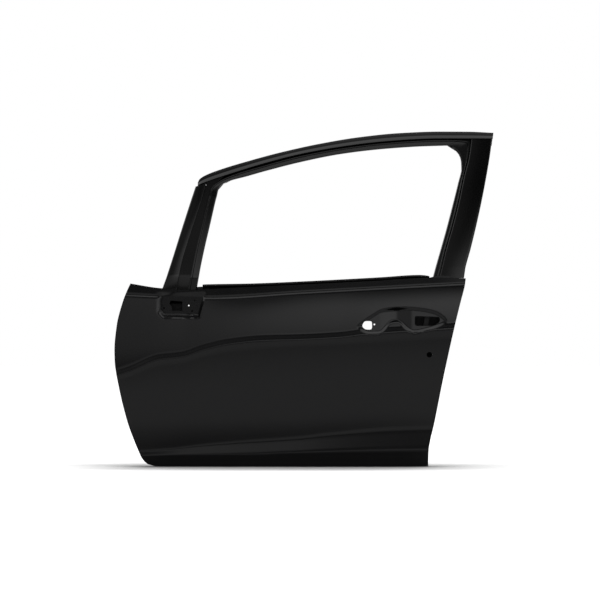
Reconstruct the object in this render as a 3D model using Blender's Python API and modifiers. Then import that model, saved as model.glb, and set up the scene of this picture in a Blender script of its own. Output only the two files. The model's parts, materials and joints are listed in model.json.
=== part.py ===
"""The shell of a left front car door, as it leaves the press shop and the primer bath, in metres.

X runs rearwards, Y runs inwards to the cabin and Z runs up. The origin is the middle of the upper
hinge's seat on the front wall of the inner panel.
"""

import math

import bmesh
import bpy
import mathutils
import numpy as np

# Driving sizes of the door
PANEL_LENGTH = 1.164
PANEL_HEIGHT = 0.605
FRAME_HEIGHT = 0.507
HINGE_SETBACK = 0.070
HINGE_HEIGHT = 0.5075
HINGE_SPACING = 0.310
FACE_DEPTH = 0.085
TRIM_DEPTH = 0.050
FRAME_DEPTH = 0.034
FRAME_LEAN = math.radians(14)
FRAME_BOW = 0.058
FRAME_TUCK_UNDER = 0.028
LEAN_START = 0.020

# Sheet and seams
SKIN_SHEET = 0.0008
PANEL_SHEET = 0.0009
FRAME_SHEET = 0.0012
HEAVY_SHEET = 0.0016
SEAM_GAP = 0.0003
JOINT_GAP = 0.0008
FOLD_GAP = 0.0008
HEM_GAP = 0.0007
HEM_RETURN = 0.009
CUT_OVERRUN = 0.020

# Section of the outer panel: how far each line lies inside the outermost one
NOSE_CURVE = 0.024
TAIL_CURVE = 0.005
BELT_TUCK = 0.037
SHOULDER_TUCK = 0.032
SHOULDER_BULGE = 0.003
HOLLOW_TUCK = 0.0075
HOLLOW_RISE = 0.018
LOWER_CREASE_TUCK = 0.0020
FLARE_TUCK = 0.026
FLANK_BULGE = 0.006
SILL_STEP_TUCK = 0.021
SILL_STEP = 0.0025
SILL_STEP_HEIGHT = 0.004
BOTTOM_TUCK = 0.033
BAND_ROLL = 0.005
NOSE_SHARE = 0.60

# Outline of the outer panel, in shares of its length and height
FRONT_EDGE_SHARES = [
    (0.116, 0.0), (0.092, 0.015), (0.077, 0.048), (0.069, 0.081), (0.055, 0.146),
    (0.037, 0.244), (0.012, 0.441), (0.001, 0.572), (0.0, 0.637), (0.006, 0.768),
    (0.023, 0.899), (0.036, 0.964), (0.045, 1.0),
]
REAR_EDGE_SHARES = [
    (0.891, 0.0), (0.892, 0.081), (0.909, 0.244), (0.936, 0.506), (0.966, 0.768),
    (0.983, 0.899), (0.996, 0.997), (0.998, 1.028),
]
TOP_SHARES = [
    (0.045, 1.0), (0.124, 0.976), (0.21, 0.964), (0.329, 0.976), (0.527, 0.994),
    (0.726, 1.013), (0.907, 1.032), (0.998, 1.028),
]
BAND_SHARES = [
    (0.022, 0.932), (0.13, 0.923), (0.272, 0.916), (0.527, 0.944), (0.924, 0.986), (0.995, 0.993),
]
UPPER_CREASE_SHARES = [
    (0.004, 0.495), (0.043, 0.52), (0.126, 0.584), (0.193, 0.599), (0.251, 0.636),
    (0.322, 0.668), (0.418, 0.688), (0.527, 0.694), (0.64, 0.706), (0.717, 0.724), (0.963, 0.755),
]
LOWER_CREASE_SHARES = [
    (0.004, 0.479), (0.045, 0.502), (0.127, 0.561), (0.193, 0.577), (0.252, 0.61),
    (0.334, 0.64), (0.417, 0.653), (0.527, 0.669), (0.64, 0.677), (0.805, 0.695), (0.957, 0.709),
]
FLARE_SHARES = [
    (0.071, 0.083), (0.161, 0.095), (0.238, 0.113), (0.357, 0.134), (0.527, 0.158),
    (0.598, 0.175), (0.808, 0.209), (0.904, 0.214),
]
SILL_STEP_SHARES = [(0.082, 0.056), (0.187, 0.061), (0.399, 0.061), (0.47, 0.067), (0.635, 0.074), (0.892, 0.081)]
INNER_BELT_SHARES = [
    (0.238, 0.983), (0.252, 0.995), (0.385, 1.0), (0.527, 1.011), (0.64, 1.022), (0.754, 1.034),
    (0.867, 1.047), (0.89, 1.043), (0.907, 1.032),
]
PANEL_TOP_SHARES = [
    (0.045, 0.996), (0.124, 0.974), (0.18, 0.976), (0.245, 0.982), (0.27, 0.988), (0.385, 0.991),
    (0.527, 1.002), (0.64, 1.013), (0.754, 1.025), (0.867, 1.038), (0.907, 1.025), (0.998, 1.022),
]

# Outlines of the window frame, in shares of the panel's length and the frame's height
ROOF_SHARES = [
    (0.235, 0.6636), (0.2379, 0.6798), (0.2549, 0.7085), (0.3003, 0.7495), (0.3853, 0.8087),
    (0.4704, 0.8614), (0.5838, 0.9193), (0.6972, 0.9629), (0.8106, 0.9896), (0.924, 1.0),
    (1.0091, 0.9993), (1.0797, 0.9922),
]
HEADER_FOOT_SHARES = [
    (0.2302, 0.6369), (0.2617, 0.6642), (0.3181, 0.7078), (0.4193, 0.7807), (0.5271, 0.8451),
    (0.6405, 0.8926), (0.7539, 0.9258), (0.8673, 0.9446), (0.924, 0.9485), (1.0768, 0.9485),
]
FRONT_SASH_SHARES = [
    (0.1401, -0.0034), (0.1463, 0.0356), (0.1517, 0.0746), (0.1625, 0.1527), (0.1834, 0.3089),
    (0.2047, 0.4651), (0.2265, 0.6213), (0.2325, 0.6603),
]
FILLER_FRONT_SHARES = [
    (0.1798, -0.0021), (0.1897, 0.1267), (0.2067, 0.2634), (0.2257, 0.4), (0.2495, 0.5692),
    (0.2574, 0.6278), (0.2600, 0.6603),
]
REAR_SASH_SHARES = [
    (0.9930, 0.0300), (0.9952, 0.0746), (1.0133, 0.2308), (1.0303, 0.387), (1.0456, 0.5432),
    (1.0593, 0.6994), (1.0712, 0.8555), (1.0766, 0.9466),
]

# The window's edge and the glass channel's outer lip, station by station round the opening
WINDOW_SHARES = [
    (0.2333, -0.04), (0.2393, 0.04), (0.2438, 0.1), (0.2555, 0.2308), (0.2711, 0.387), (0.2864, 0.5432),
    (0.2898, 0.5725), (0.2932, 0.6069), (0.2986, 0.6343), (0.3096, 0.6564), (0.3312, 0.6766),
    (0.3711, 0.7007), (0.4278, 0.7377), (0.5271, 0.7963), (0.6405, 0.849), (0.7539, 0.8816),
    (0.8673, 0.9004), (0.924, 0.905), (0.949, 0.9063), (0.9716, 0.8744), (0.9844, 0.8334),
    (0.9878, 0.7937), (0.9881, 0.7514), (0.9787, 0.6603), (0.9612, 0.5041), (0.943, 0.348),
    (0.9234, 0.1918), (0.9118, 0.1), (0.9047, 0.04), (0.9002, 0.0),
]
LIP_SHARES = [
    (0.2083, -0.04), (0.2152, 0.04), (0.22, 0.1), (0.2308, 0.2308), (0.2461, 0.387), (0.2617, 0.5432),
    (0.2662, 0.579), (0.2696, 0.6135), (0.2762, 0.6356), (0.2878, 0.6564), (0.3031, 0.6798),
    (0.3371, 0.7137), (0.4193, 0.7709), (0.5271, 0.8373), (0.6405, 0.8861), (0.7539, 0.9206),
    (0.8673, 0.9401), (0.924, 0.9447), (0.9836, 0.9434), (1.0147, 0.9401), (1.0142, 0.9206),
    (1.0105, 0.8685), (1.0062, 0.8165), (0.9943, 0.7124), (0.9773, 0.5302), (0.958, 0.361),
    (0.9382, 0.2048), (0.9277, 0.1), (0.9206, 0.04), (0.9163, 0.0),
]
FRONT_CORNER_SHARES = (6, 11)
REAR_CORNER_SHARES = (18, 23)
LAST_STATION_SHARE = len(WINDOW_SHARES) - 1

# Handle pocket and mirror seat in the outer panel, in shares of the panel
POCKET_TOP_SHARES = [
    (0.688, 0.764), (0.703, 0.79), (0.729, 0.825), (0.762, 0.86), (0.80, 0.868), (0.838, 0.870),
    (0.872, 0.864), (0.909, 0.849), (0.935, 0.818), (0.945, 0.79),
]
POCKET_LOW_SHARES = [
    (0.688, 0.764), (0.704, 0.74), (0.725, 0.724), (0.752, 0.726), (0.772, 0.76), (0.785, 0.782),
    (0.802, 0.788), (0.818, 0.77), (0.833, 0.745), (0.850, 0.731), (0.894, 0.748), (0.939, 0.783),
    (0.945, 0.79),
]
POCKET_WALL = 0.008
HANDLE_SEAT_TUCK = 0.0150
HANDLE_SEAT_TILT = 0.15
HANDLE_SEAT_SHARE = 0.80
HANDLE_BOWL_SINK = 0.010
HANDLE_BOWL_CORNER = 0.015
BOWL_MIDDLE_SHARE = 0.800
BOWL_REACH_SHARE = 0.046
MIRROR_SEAT_SHARES = ((0.134, 0.825), (0.2375, 0.937))
MIRROR_WALL_FRONT = 0.014
MIRROR_WALL = 0.007

# Holes: middle in shares of the panel, then length and height
HANDLE_FRONT_HOLE = ((0.7168, 0.7715), 0.034, 0.028)
HANDLE_PIN_HOLE = ((0.7380, 0.7765), 0.006, 0.006)
HANDLE_REAR_HOLE = ((0.8883, 0.7958), 0.083, 0.033)
LOCK_HOLE = ((0.8938, 0.6112), 0.018, 0.018)
MIRROR_PLUG_HOLE = ((0.1742, 0.8790), 0.043, 0.034)
MIRROR_BOLT_HOLES = [((0.1402, 0.8660), 0.007, 0.007), ((0.2275, 0.9080), 0.007, 0.007),
                     ((0.2205, 0.8500), 0.009, 0.007)]
MIRROR_SIGHT_HOLE = ((0.2110, 0.8796), 0.005, 0.005)
SPEAKER_HOLE = ((0.205, 0.352), 0.164, 0.164)
SPEAKER_SCREW_CIRCLE = 0.186
SPEAKER_SCREWS = 3
TRIM_CLIP_HOLE = 0.009
TRIM_CLIP_SHARES = [
    (0.075, 0.72), (0.085, 0.20), (0.29, 0.105), (0.53, 0.105), (0.80, 0.105), (0.865, 0.33),
    (0.915, 0.58), (0.345, 0.56), (0.345, 0.40),
]
FRONT_SERVICE_SHARES = [(0.385, 0.485), (0.385, 0.77), (0.53, 0.81), (0.53, 0.485)]
REAR_SERVICE_SHARES = [(0.60, 0.43), (0.60, 0.82), (0.80, 0.85), (0.815, 0.43)]
LOW_FRONT_SERVICE_SHARES = [(0.375, 0.20), (0.375, 0.38), (0.53, 0.38), (0.53, 0.20)]
LOW_REAR_SERVICE_SHARES = [(0.60, 0.20), (0.60, 0.33), (0.80, 0.33), (0.775, 0.20)]
MIRROR_ACCESS_HOLE = ((0.2110, 0.8796), 0.024, 0.018)
SERVICE_CORNER = 0.022
HANDLE_ACCESS_HOLE = ((0.922, 0.742), 0.026, 0.020)
LATCH_MOUTH = (0.036, 0.075)
LATCH_SHARE = 0.56
HARNESS_HOLE = 0.034
HARNESS_DEPTH = 0.016
SCREW_HOLE = 0.006
SMALL_HOLE_SIDES = 8
HOLE_CORNER = 0.005
DRAIN_DEPTH = 0.010
CHECK_SLOT = (0.026, 0.040)
HINGE_BOLT_HOLE = 0.011
HINGE_BOLT_SPACING = 0.048
HOLE_SIDES = 12
LARGE_HOLE_SIDES = 24
DRAIN_SLOT = (0.022, 0.006)
DRAIN_SHARES = (0.20, 0.52, 0.82)

# Inner panel: its columns count 0 to 1 over the trim face, its rows the skin's lines beside it.
# It is pressed from two blanks, the strong one at the hinges welded edge to edge to the thin one.
INNER_COLUMN_SHARES = [
    0, 0.035, 0.048, 0.070, 0.13, 0.20, 0.25, 0.36, 0.44, 0.52, 0.60, 0.68, 0.76, 0.83, 0.892, 0.905, 1,
]
INNER_ROW_SHARES = {
    1: 0.066, 2: 0.098, 3: 0.112, 3.25: 0.22, 3.5: 0.33, 3.75: 0.44, 4: 0.55, 5: 0.61, 6: 0.67,
    6.33: 0.76, 6.67: 0.775,
}
BLANK_WELD_SHARE = 0.30
BLANK_GAP_SHARE = 0.0004
WALL_LINE_SHARE = 0.14
HINGE_SEAT_RISE = 0.0005
WALL_LINES = (-1.5, 2.5)
EMBOSS_SHARES = ((0.045, 3), (0.90, 6.4))
PANEL_CORNER = 0.010
FLANGE_HEIGHT = 0.016
WALL_DRAFT = 0.004
HEM_CLEARANCE = 0.0015
REAR_FLANGE = 0.020
TOP_FLANGE = 0.013
SHELF_DROP = 0.030
FACE_DROP = 0.052
TOP_CLOSE_SHARES = (0.095, 0.122)
EMBOSS = 0.007
LATCH_WALL_SHARES = (0.146, 1.0)

# Hidden steelwork
BEAM_RADIUS = 0.016
BEAM_WALL = 0.002
BEAM_SIDES = 16
BEAM_FRONT_SHARE = 0.075
BEAM_REAR_SHARES = (0.862, 0.26)
BEAM_CLEARANCE = 0.006
BRACKET_LENGTH = 0.062
BRACKET_HEIGHT = 0.056
BRACKET_FOOT = 0.020
BRACKET_CLEARANCE = 0.004
PAD_RADIUS = 0.014
PAD_GAP = 0.0008
PAD_SHARES = (0.30, 0.50, 0.70)
HINGE_PLATE_HEIGHT = 0.380
HINGE_PLATE_WIDTH = 0.058
NUT_PLATE = 0.004
NUT_PLATE_HEIGHT = 0.070
NUT_PLATE_WIDTH = 0.030
NUT_THREAD = 0.008
CHECK_PLATE_HEIGHT = 0.075
CHECK_PLATE_WIDTH = 0.048
LATCH_PLATE_HEIGHT = 0.150
LATCH_PLATE_WIDTH = 0.056
LATCH_SCREW_SPACING = 0.100
HANDLE_PLATE_SHARES = ((0.698, 0.705), (0.932, 0.885))
HANDLE_PLATE_BOWL_SHARES = ((0.744, 0.735), (0.850, 0.872))
HANDLE_PLATE_MARGIN = 0.006
MIRROR_PLATE_SHARES = ((0.132, 0.838), (0.234, 0.926))
WELD_NUT_SIZE = 0.013
WELD_NUT_HEIGHT = 0.005
WELD_NUT_BORE = 0.006
GLASS_SLOT = 0.018
BELT_FLANGE = 0.007
BELT_SHELF = 0.010
BELT_SLOPE = 0.002
BELT_FOOT = 0.008
OUTER_BELT_FOOT = 0.022
OUTER_BELT_RISE = 0.007
OUTER_BELT_SHARES = (0.245, 0.961)
OUTER_BELT_RISE_SHARES = (0.880, 0.930)
INNER_BELT_REACH_SHARES = (0.250, 0.895)
BELT_STEPS = 16
RUN_WIDTH = 0.016
RUN_DEPTH = 0.014
RUN_FACE = -0.022
RUN_CLEARANCE = 0.010
FRONT_RUN_SHARES = (0.221, 0.236, 0.50)
REAR_RUN_SHARES = (0.905, 0.862, 0.45)
RUN_TAB = 0.024
RUN_TAB_SHARE = 0.55

# Window frame
FRAME_RECESS = 0.006
FRAME_ROLL = 0.003
HEADER_LIP_SINK = 0.008
HEADER_TAIL = 0.002
HEADER_COLUMN_SHARES = [0, 0.01, 0.03, 0.07, 0.12, 0.18, 0.26, 0.35, 0.45, 0.55, 0.66, 0.77, 0.88, 0.95, 1]
HEADER_STEP_SHARES = (0.10, 0.48)
CHANNEL_LIP_SHARE = 0.20
CHANNEL_DROP_SHARE = 0.26
CHANNEL_EDGE_SHARE = 0.88
CHANNEL_SINK = 0.012
CHANNEL_CURL = 0.018
REAR_FRAME_TUCK = 0.060
STATION_STEP_SHARE = 0.01
FOOT_ROW, SEAM_ROW = -1, 2
FRONT_CORNER_ROW_SHARE = 0.615
FILLER_ROW_SHARES = [0.579, 0.6135, 0.6356, 0.65]
FILLER_END_SHARE = 0.31
FRONT_ROW_SHARES = [0.04, 0.1, 0.2308, 0.387, 0.5432]
REAR_ROW_SHARES = [0.1, 0.2, 0.35, 0.5, 0.66, 0.79, 0.87]
REAR_FACE_RISE = 0.002
TONGUE_CLEARANCE = 0.004
TONGUE_SHARE = 0.038
FRAME_FOLD = FRAME_DEPTH - FRAME_SHEET - FOLD_GAP
CHANNEL_SECTION = [
    (0, FRAME_ROLL), (CHANNEL_LIP_SHARE, FRAME_ROLL), (CHANNEL_DROP_SHARE, CHANNEL_SINK),
    (CHANNEL_EDGE_SHARE, CHANNEL_SINK), (1, CHANNEL_CURL), (1, FRAME_FOLD),
]
HEADER_INNER_FOOT_SHARES = [
    (0.2302, 0.6369), (0.27, 0.652), (0.3096, 0.6564), (0.3312, 0.6766), (0.3711, 0.7007),
    (0.4278, 0.7377), (0.5271, 0.7963), (0.6405, 0.849), (0.7539, 0.8816), (0.8673, 0.9004),
    (0.924, 0.905), (0.949, 0.9063), (1.0766, 0.9063),
]

PANEL_FRONT_X = -HINGE_SETBACK
PANEL_BOTTOM_Z = -HINGE_HEIGHT
BELT_Z = PANEL_BOTTOM_Z + PANEL_HEIGHT
HEM_DEPTH = 2 * SKIN_SHEET + PANEL_SHEET + 2 * HEM_GAP
FLANGE_DEPTH = SKIN_SHEET + HEM_GAP + PANEL_SHEET
FRAME_STACK = SKIN_SHEET + FRAME_SHEET + 3 * SEAM_GAP


SHARP_ANGLE = math.radians(30)
GRID_DIGITS = 4
SETTLE_ROUNDS = 8
MATERIALS = {}


def clear_scene():
    for thing in list(bpy.data.objects):
        bpy.data.objects.remove(thing, do_unlink=True)
    for collection in list(bpy.data.collections):
        bpy.data.collections.remove(collection)


def mix(start, end, share):
    return start + (end - start) * share


def ease(share):
    share = min(max(share, 0), 1)
    return share * share * (3 - 2 * share)


def smooth_line(points):
    """A curve without overshoot through (position, value) points, straight on past its ends."""
    at, value = (np.array(side, float) for side in zip(*sorted(points)))
    slope = np.diff(value) / np.diff(at)
    both = slope[:-1] * slope[1:]
    total = slope[:-1] + slope[1:]
    bend = np.where(both > 0, 2 * both / np.where(total == 0, 1, total), 0)
    tangent = np.concatenate([slope[:1], bend, slope[-1:]])

    def read(position):
        if position <= at[0]:
            return value[0] + (position - at[0]) * tangent[0]
        if position >= at[-1]:
            return value[-1] + (position - at[-1]) * tangent[-1]
        i = int(np.searchsorted(at, position)) - 1
        width = at[i + 1] - at[i]
        t = (position - at[i]) / width
        rise = value[i + 1] - value[i]
        start, end = tangent[i] * width, tangent[i + 1] * width
        return value[i] + t * (start + t * (3 * rise - 2 * start - end + t * (start + end - 2 * rise)))

    return read


def along(share):
    return PANEL_FRONT_X + share * PANEL_LENGTH


def up(share):
    return PANEL_BOTTOM_Z + share * PANEL_HEIGHT


def over(share):
    return BELT_Z + share * FRAME_HEIGHT


def side(place):
    return along(place[0]), up(place[1])


def level_line(shares, height=up):
    """Height of a line of the side view at a given X."""
    return smooth_line([(along(a), height(b)) for a, b in shares])


def upright_line(shares, height=up):
    """X of a line of the side view at a given height."""
    return smooth_line([(height(b), along(a)) for a, b in shares])


front_edge = upright_line(FRONT_EDGE_SHARES)
rear_edge = upright_line(REAR_EDGE_SHARES)
top_line = level_line(TOP_SHARES)
band_line = level_line(BAND_SHARES)
upper_crease = level_line(UPPER_CREASE_SHARES)
lower_crease = level_line(LOWER_CREASE_SHARES)
flare_line = level_line(FLARE_SHARES)
sill_step = level_line(SILL_STEP_SHARES)
inner_belt = level_line(INNER_BELT_SHARES)
panel_top = level_line(PANEL_TOP_SHARES)
pocket_top = level_line(POCKET_TOP_SHARES)
pocket_low = level_line(POCKET_LOW_SHARES)
roof_line = level_line(ROOF_SHARES, over)
header_foot = level_line(HEADER_FOOT_SHARES, over)
front_sash = upright_line(FRONT_SASH_SHARES, over)
filler_front = upright_line(FILLER_FRONT_SHARES, over)
rear_sash = upright_line(REAR_SASH_SHARES, over)

# Lines of the outer panel's section from the bottom up: height at X, tuck, and bulge below the line
PANEL_LINES = [
    (lambda x: PANEL_BOTTOM_Z, BOTTOM_TUCK, 0),
    (lambda x: sill_step(x) - SILL_STEP_HEIGHT, SILL_STEP_TUCK + SILL_STEP, 0),
    (sill_step, SILL_STEP_TUCK, 0),
    (flare_line, FLARE_TUCK, 0),
    (lower_crease, LOWER_CREASE_TUCK, FLANK_BULGE),
    (upper_crease, 0, 0),
    (lambda x: upper_crease(x) + HOLLOW_RISE, HOLLOW_TUCK, 0),
    (band_line, SHOULDER_TUCK, SHOULDER_BULGE),
    (lambda x: band_line(x) + BAND_ROLL, mix(SHOULDER_TUCK, BELT_TUCK, 0.8), 0),
    (top_line, BELT_TUCK, 0),
]
LAST_LINE = len(PANEL_LINES) - 1


def plan_curve(x):
    """How far the nose and the tail of the panel curve in from its middle."""
    share = (x - PANEL_FRONT_X) / PANEL_LENGTH
    if share < NOSE_SHARE:
        return NOSE_CURVE * (1 - share / NOSE_SHARE) ** 2
    return TAIL_CURVE * ((share - NOSE_SHARE) / (1 - NOSE_SHARE)) ** 2


def section_tuck(x, z):
    """Tuck of the plain panel at a place of the side view."""
    low_z, low_tuck, _ = PANEL_LINES[0]
    low_z = low_z(x)
    for line, tuck, bulge in PANEL_LINES[1:]:
        high_z = line(x)
        if z <= high_z or line is top_line:
            share = (z - low_z) / (high_z - low_z)
            return mix(low_tuck, tuck, share) - bulge * 4 * share * (1 - min(share, 1))
        low_z, low_tuck = high_z, tuck


def handle_seat_y(z):
    """Y of the flat seats in the handle pocket, tilted like the shoulder round them."""
    return -FACE_DEPTH + HANDLE_SEAT_TUCK + (z - up(HANDLE_SEAT_SHARE)) * HANDLE_SEAT_TILT


def pocket_y(x, z, y):
    """Y in the handle pocket, where the plain panel would lie at y: two flat seats with a bowl between."""
    start, end = along(POCKET_TOP_SHARES[0][0]), along(POCKET_TOP_SHARES[-1][0])
    if not start < x < end:
        return y
    edge = min(z - pocket_low(x), pocket_top(x) - z, x - start, end - x)
    reach = (x - along(BOWL_MIDDLE_SHARE)) / (BOWL_REACH_SHARE * PANEL_LENGTH)
    floor = handle_seat_y(z) + HANDLE_BOWL_SINK * ease(1 - abs(reach))
    return mix(y, max(floor, y), ease(edge / POCKET_WALL))


def mirror_share(x, z):
    """How much of the flat mirror seat stands at a place: 1 on the seat, 0 outside its wall."""
    (front, low), (rear, high) = (side(corner) for corner in MIRROR_SEAT_SHARES)
    inside = min(
        (x - front) / MIRROR_WALL_FRONT + 1,
        (rear - x + (z - low) / 4) / MIRROR_WALL + 1,
        (z - low) / MIRROR_WALL + 1,
        (high - z) / MIRROR_WALL + 1,
        (x - front + z - low) / MIRROR_WALL,
    )
    return ease(inside)


def mirror_seat_y():
    return -FACE_DEPTH + BELT_TUCK + plan_curve(side(MIRROR_PLUG_HOLE[0])[0])


def skin_y(x, z):
    """Y of the outer panel's outer face."""
    y = pocket_y(x, z, -FACE_DEPTH + plan_curve(x) + section_tuck(x, z))
    return mix(y, mirror_seat_y(), mirror_share(x, z))


def belt_y(x):
    """Y of the outer panel's face at its top edge."""
    return -FACE_DEPTH + plan_curve(x) + BELT_TUCK


def frame_y(x, z):
    """Y of the face that the window frame follows: upright at its foot, then leaning in."""
    rise = max(z - BELT_Z - LEAN_START, 0)
    return belt_y(x) + FRAME_STACK + rise * math.tan(FRAME_LEAN) + FRAME_BOW * rise * rise / FRAME_HEIGHT


def panel_top_y(x):
    """Y of the inner panel's top flange, on which the frame's feet and the belt reinforcement are welded."""
    return belt_y(x) + FRAME_STACK + FRAME_DEPTH + SEAM_GAP + PANEL_SHEET


def settle(left, right, height):
    """A place function of a patch whose ends are upright lines and whose rows are level lines."""

    def place(u, v):
        z = height(along(u), v)
        for _ in range(SETTLE_ROUNDS):
            x = mix(left(z), right(z), u)
            z = height(x, v)
        return x, z

    return place


def panel_height(x, v):
    """Height at X of row v of the outer panel, counted in lines from the bottom."""
    row = min(int(v), LAST_LINE - 1)
    return mix(PANEL_LINES[row][0](x), PANEL_LINES[row + 1][0](x), v - row)


panel_place = settle(front_edge, rear_edge, panel_height)


def grid_mesh(name, columns, rows, zones=(), dropped=None):
    """A flat grid with its points at the given columns and rows, finer inside the zones."""
    shape = bmesh.new()
    wide, high = len(columns) - 1, len(rows) - 1
    bmesh.ops.create_grid(shape, x_segments=wide, y_segments=high, size=0.5)
    for vert in shape.verts:
        column = round((vert.co.x + 0.5) * wide)
        row = round((vert.co.y + 0.5) * high)
        vert.co = (columns[column], rows[row], 0)
    if dropped:
        outside = [face for face in shape.faces if dropped(*face.calc_center_median().xy)]
        bmesh.ops.delete(shape, geom=outside, context="FACES")
    for left, low, right, high_row, cuts in zones:
        edges = [
            edge for edge in shape.edges
            if all(left <= v.co.x <= right and low <= v.co.y <= high_row for v in edge.verts)
        ]
        bmesh.ops.subdivide_edges(shape, edges=edges, cuts=cuts, use_grid_fill=True)
    many = [face for face in shape.faces if len(face.verts) > 4]
    bmesh.ops.triangulate(shape, faces=many)
    return shape


def add_object(name, shape, material, collection="car_door_shell"):
    mesh = bpy.data.meshes.new(name)
    shape.to_mesh(mesh)
    shape.free()
    mesh.materials.append(material)
    mesh.shade_smooth()
    mesh.set_sharp_from_angle(angle=SHARP_ANGLE)
    thing = bpy.data.objects.new(name, mesh)
    bpy.data.collections[collection].objects.link(thing)
    return thing


def thicken(thing, thickness, towards_face):
    """Gives an open sheet its thickness, on the side its faces point to or behind them."""
    wall = thing.modifiers.new("Thickness", "SOLIDIFY")
    wall.thickness = thickness
    wall.offset = 1 if towards_face else -1
    wall.use_even_offset = True
    wall.use_quality_normals = True


def sheet(name, columns, rows, place, thickness, material, towards_face=False, zones=(), dropped=None):
    shape = grid_mesh(name, columns, rows, zones, dropped)
    for vert in shape.verts:
        vert.co = place(round(vert.co.x, GRID_DIGITS), round(vert.co.y, GRID_DIGITS))
    thing = add_object(name, shape, material)
    thicken(thing, thickness, towards_face)
    return thing


def prism(shape, outline, axis, low, high):
    """Adds a closed prism along an axis over an outline of (x, z), (y, z) or (x, y) points."""
    if axis == "Y":
        corners = [(a, low, b) for a, b in outline]
        way = (0, high - low, 0)
    elif axis == "X":
        corners = [(low, a, b) for a, b in outline]
        way = (high - low, 0, 0)
    else:
        corners = [(a, b, low) for a, b in outline]
        way = (0, 0, high - low)
    face = shape.faces.new([shape.verts.new(corner) for corner in corners])
    made = bmesh.ops.extrude_face_region(shape, geom=[face])
    moved = [item for item in made["geom"] if isinstance(item, bmesh.types.BMVert)]
    bmesh.ops.translate(shape, verts=moved, vec=way)
    bmesh.ops.recalc_face_normals(shape, faces=shape.faces)


def cut(thing, holes):
    """Cuts (outline, axis, low, high) prisms out of an object with one Boolean."""
    shape = bmesh.new()
    for hole in holes:
        prism(shape, *hole)
    cutter = add_object(thing.name + "_cutter", shape, MATERIALS["structure"], "cutters")
    cutter.hide_render = True
    cutter.display_type = "WIRE"
    boolean = thing.modifiers.new("Holes", "BOOLEAN")
    boolean.operation = "DIFFERENCE"
    boolean.solver = "EXACT"
    boolean.use_self = True
    boolean.object = cutter


def plate(name, outline, axis, low, high, material, holes=()):
    """A flat plate with its holes cut through."""
    shape = bmesh.new()
    prism(shape, outline, axis, low, high)
    thing = add_object(name, shape, material)
    if holes:
        cut(thing, [(hole, axis, low - CUT_OVERRUN, high + CUT_OVERRUN) for hole in holes])
    return thing


def round_outline(middle, width, height, sides=None):
    sides = sides or HOLE_SIDES
    turn = 2 * math.pi / sides
    return [
        (middle[0] + width / 2 * math.cos(turn * (i + 0.5)), middle[1] + height / 2 * math.sin(turn * (i + 0.5)))
        for i in range(sides)
    ]


def soft_outline(corners, radius, steps=3):
    """A polygon with its corners rounded, each by an arc-like run of steps."""
    points = []
    for i, corner in enumerate(corners):
        before, after = corners[i - 1], corners[(i + 1) % len(corners)]
        ends = []
        for other in (before, after):
            gap = math.dist(corner, other)
            share = min(radius / gap, 0.45)
            ends.append((mix(corner[0], other[0], share), mix(corner[1], other[1], share)))
        for step in range(steps + 1):
            t = step / steps
            first = (mix(ends[0][0], corner[0], t), mix(ends[0][1], corner[1], t))
            last = (mix(corner[0], ends[1][0], t), mix(corner[1], ends[1][1], t))
            points.append((mix(first[0], last[0], t), mix(first[1], last[1], t)))
    return points


def box_outline(middle, width, height, radius=0, steps=2):
    x, z = middle
    corners = [
        (x - width / 2, z - height / 2), (x + width / 2, z - height / 2),
        (x + width / 2, z + height / 2), (x - width / 2, z + height / 2),
    ]
    return soft_outline(corners, radius, steps) if radius else corners


def hole(data, sides=None):
    return round_outline(side(data[0]), data[1], data[2], sides)


def handle_front_outline():
    (x, z), length, height = side(HANDLE_FRONT_HOLE[0]), HANDLE_FRONT_HOLE[1] / 2, HANDLE_FRONT_HOLE[2] / 2
    corners = [
        (x - length, z - height * 0.2), (x - length * 0.35, z - height), (x + length, z - height),
        (x + length, z + height), (x - length * 0.5, z + height),
    ]
    return soft_outline(corners, HANDLE_FRONT_HOLE[2] / 4, 2)


def handle_rear_outline():
    (x, z), length, height = side(HANDLE_REAR_HOLE[0]), HANDLE_REAR_HOLE[1] / 2, HANDLE_REAR_HOLE[2] / 2
    corners = [
        (x - length, z - height), (x + length * 0.5, z - height), (x + length, z - height * 0.25),
        (x + length, z + height * 0.8), (x - length, z + height),
    ]
    return soft_outline(corners, HANDLE_REAR_HOLE[2] / 5, 2)


def mirror_plug_outline():
    (x, z), length, height = side(MIRROR_PLUG_HOLE[0]), MIRROR_PLUG_HOLE[1] / 2, MIRROR_PLUG_HOLE[2] / 2
    return [
        (x - length * 0.6, z - height), (x + length, z - height), (x + length, z + height * 0.8),
        (x - length * 0.8, z + height), (x - length, z + height * 0.4), (x - length * 0.65, z - height * 0.2),
    ]


PANEL_COLUMN_SHARES = [
    0, 0.04, 0.085, 0.125, 0.16, 0.20, 0.245, 0.29, 0.34, 0.39, 0.44, 0.49,
    0.54, 0.59, 0.64, 0.685, 0.73, 0.78, 0.83, 0.88, 0.92, 0.96, 0.98, 1,
]
PANEL_ROW_SHARES = [0, 1, 2, 3, 3.25, 3.5, 3.75, 4, 5, 6, 6.33, 6.67, 7, 8, 9]

# Patches of the skin with finer faces, at the handle pocket and the mirror seat: column and row of
# two corners, then how many faces each one becomes along an edge
FINE_ZONES = [(0.68, 4, 0.99, 6.68, 3), (0.08, 6.32, 0.25, 7, 3)]


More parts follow.
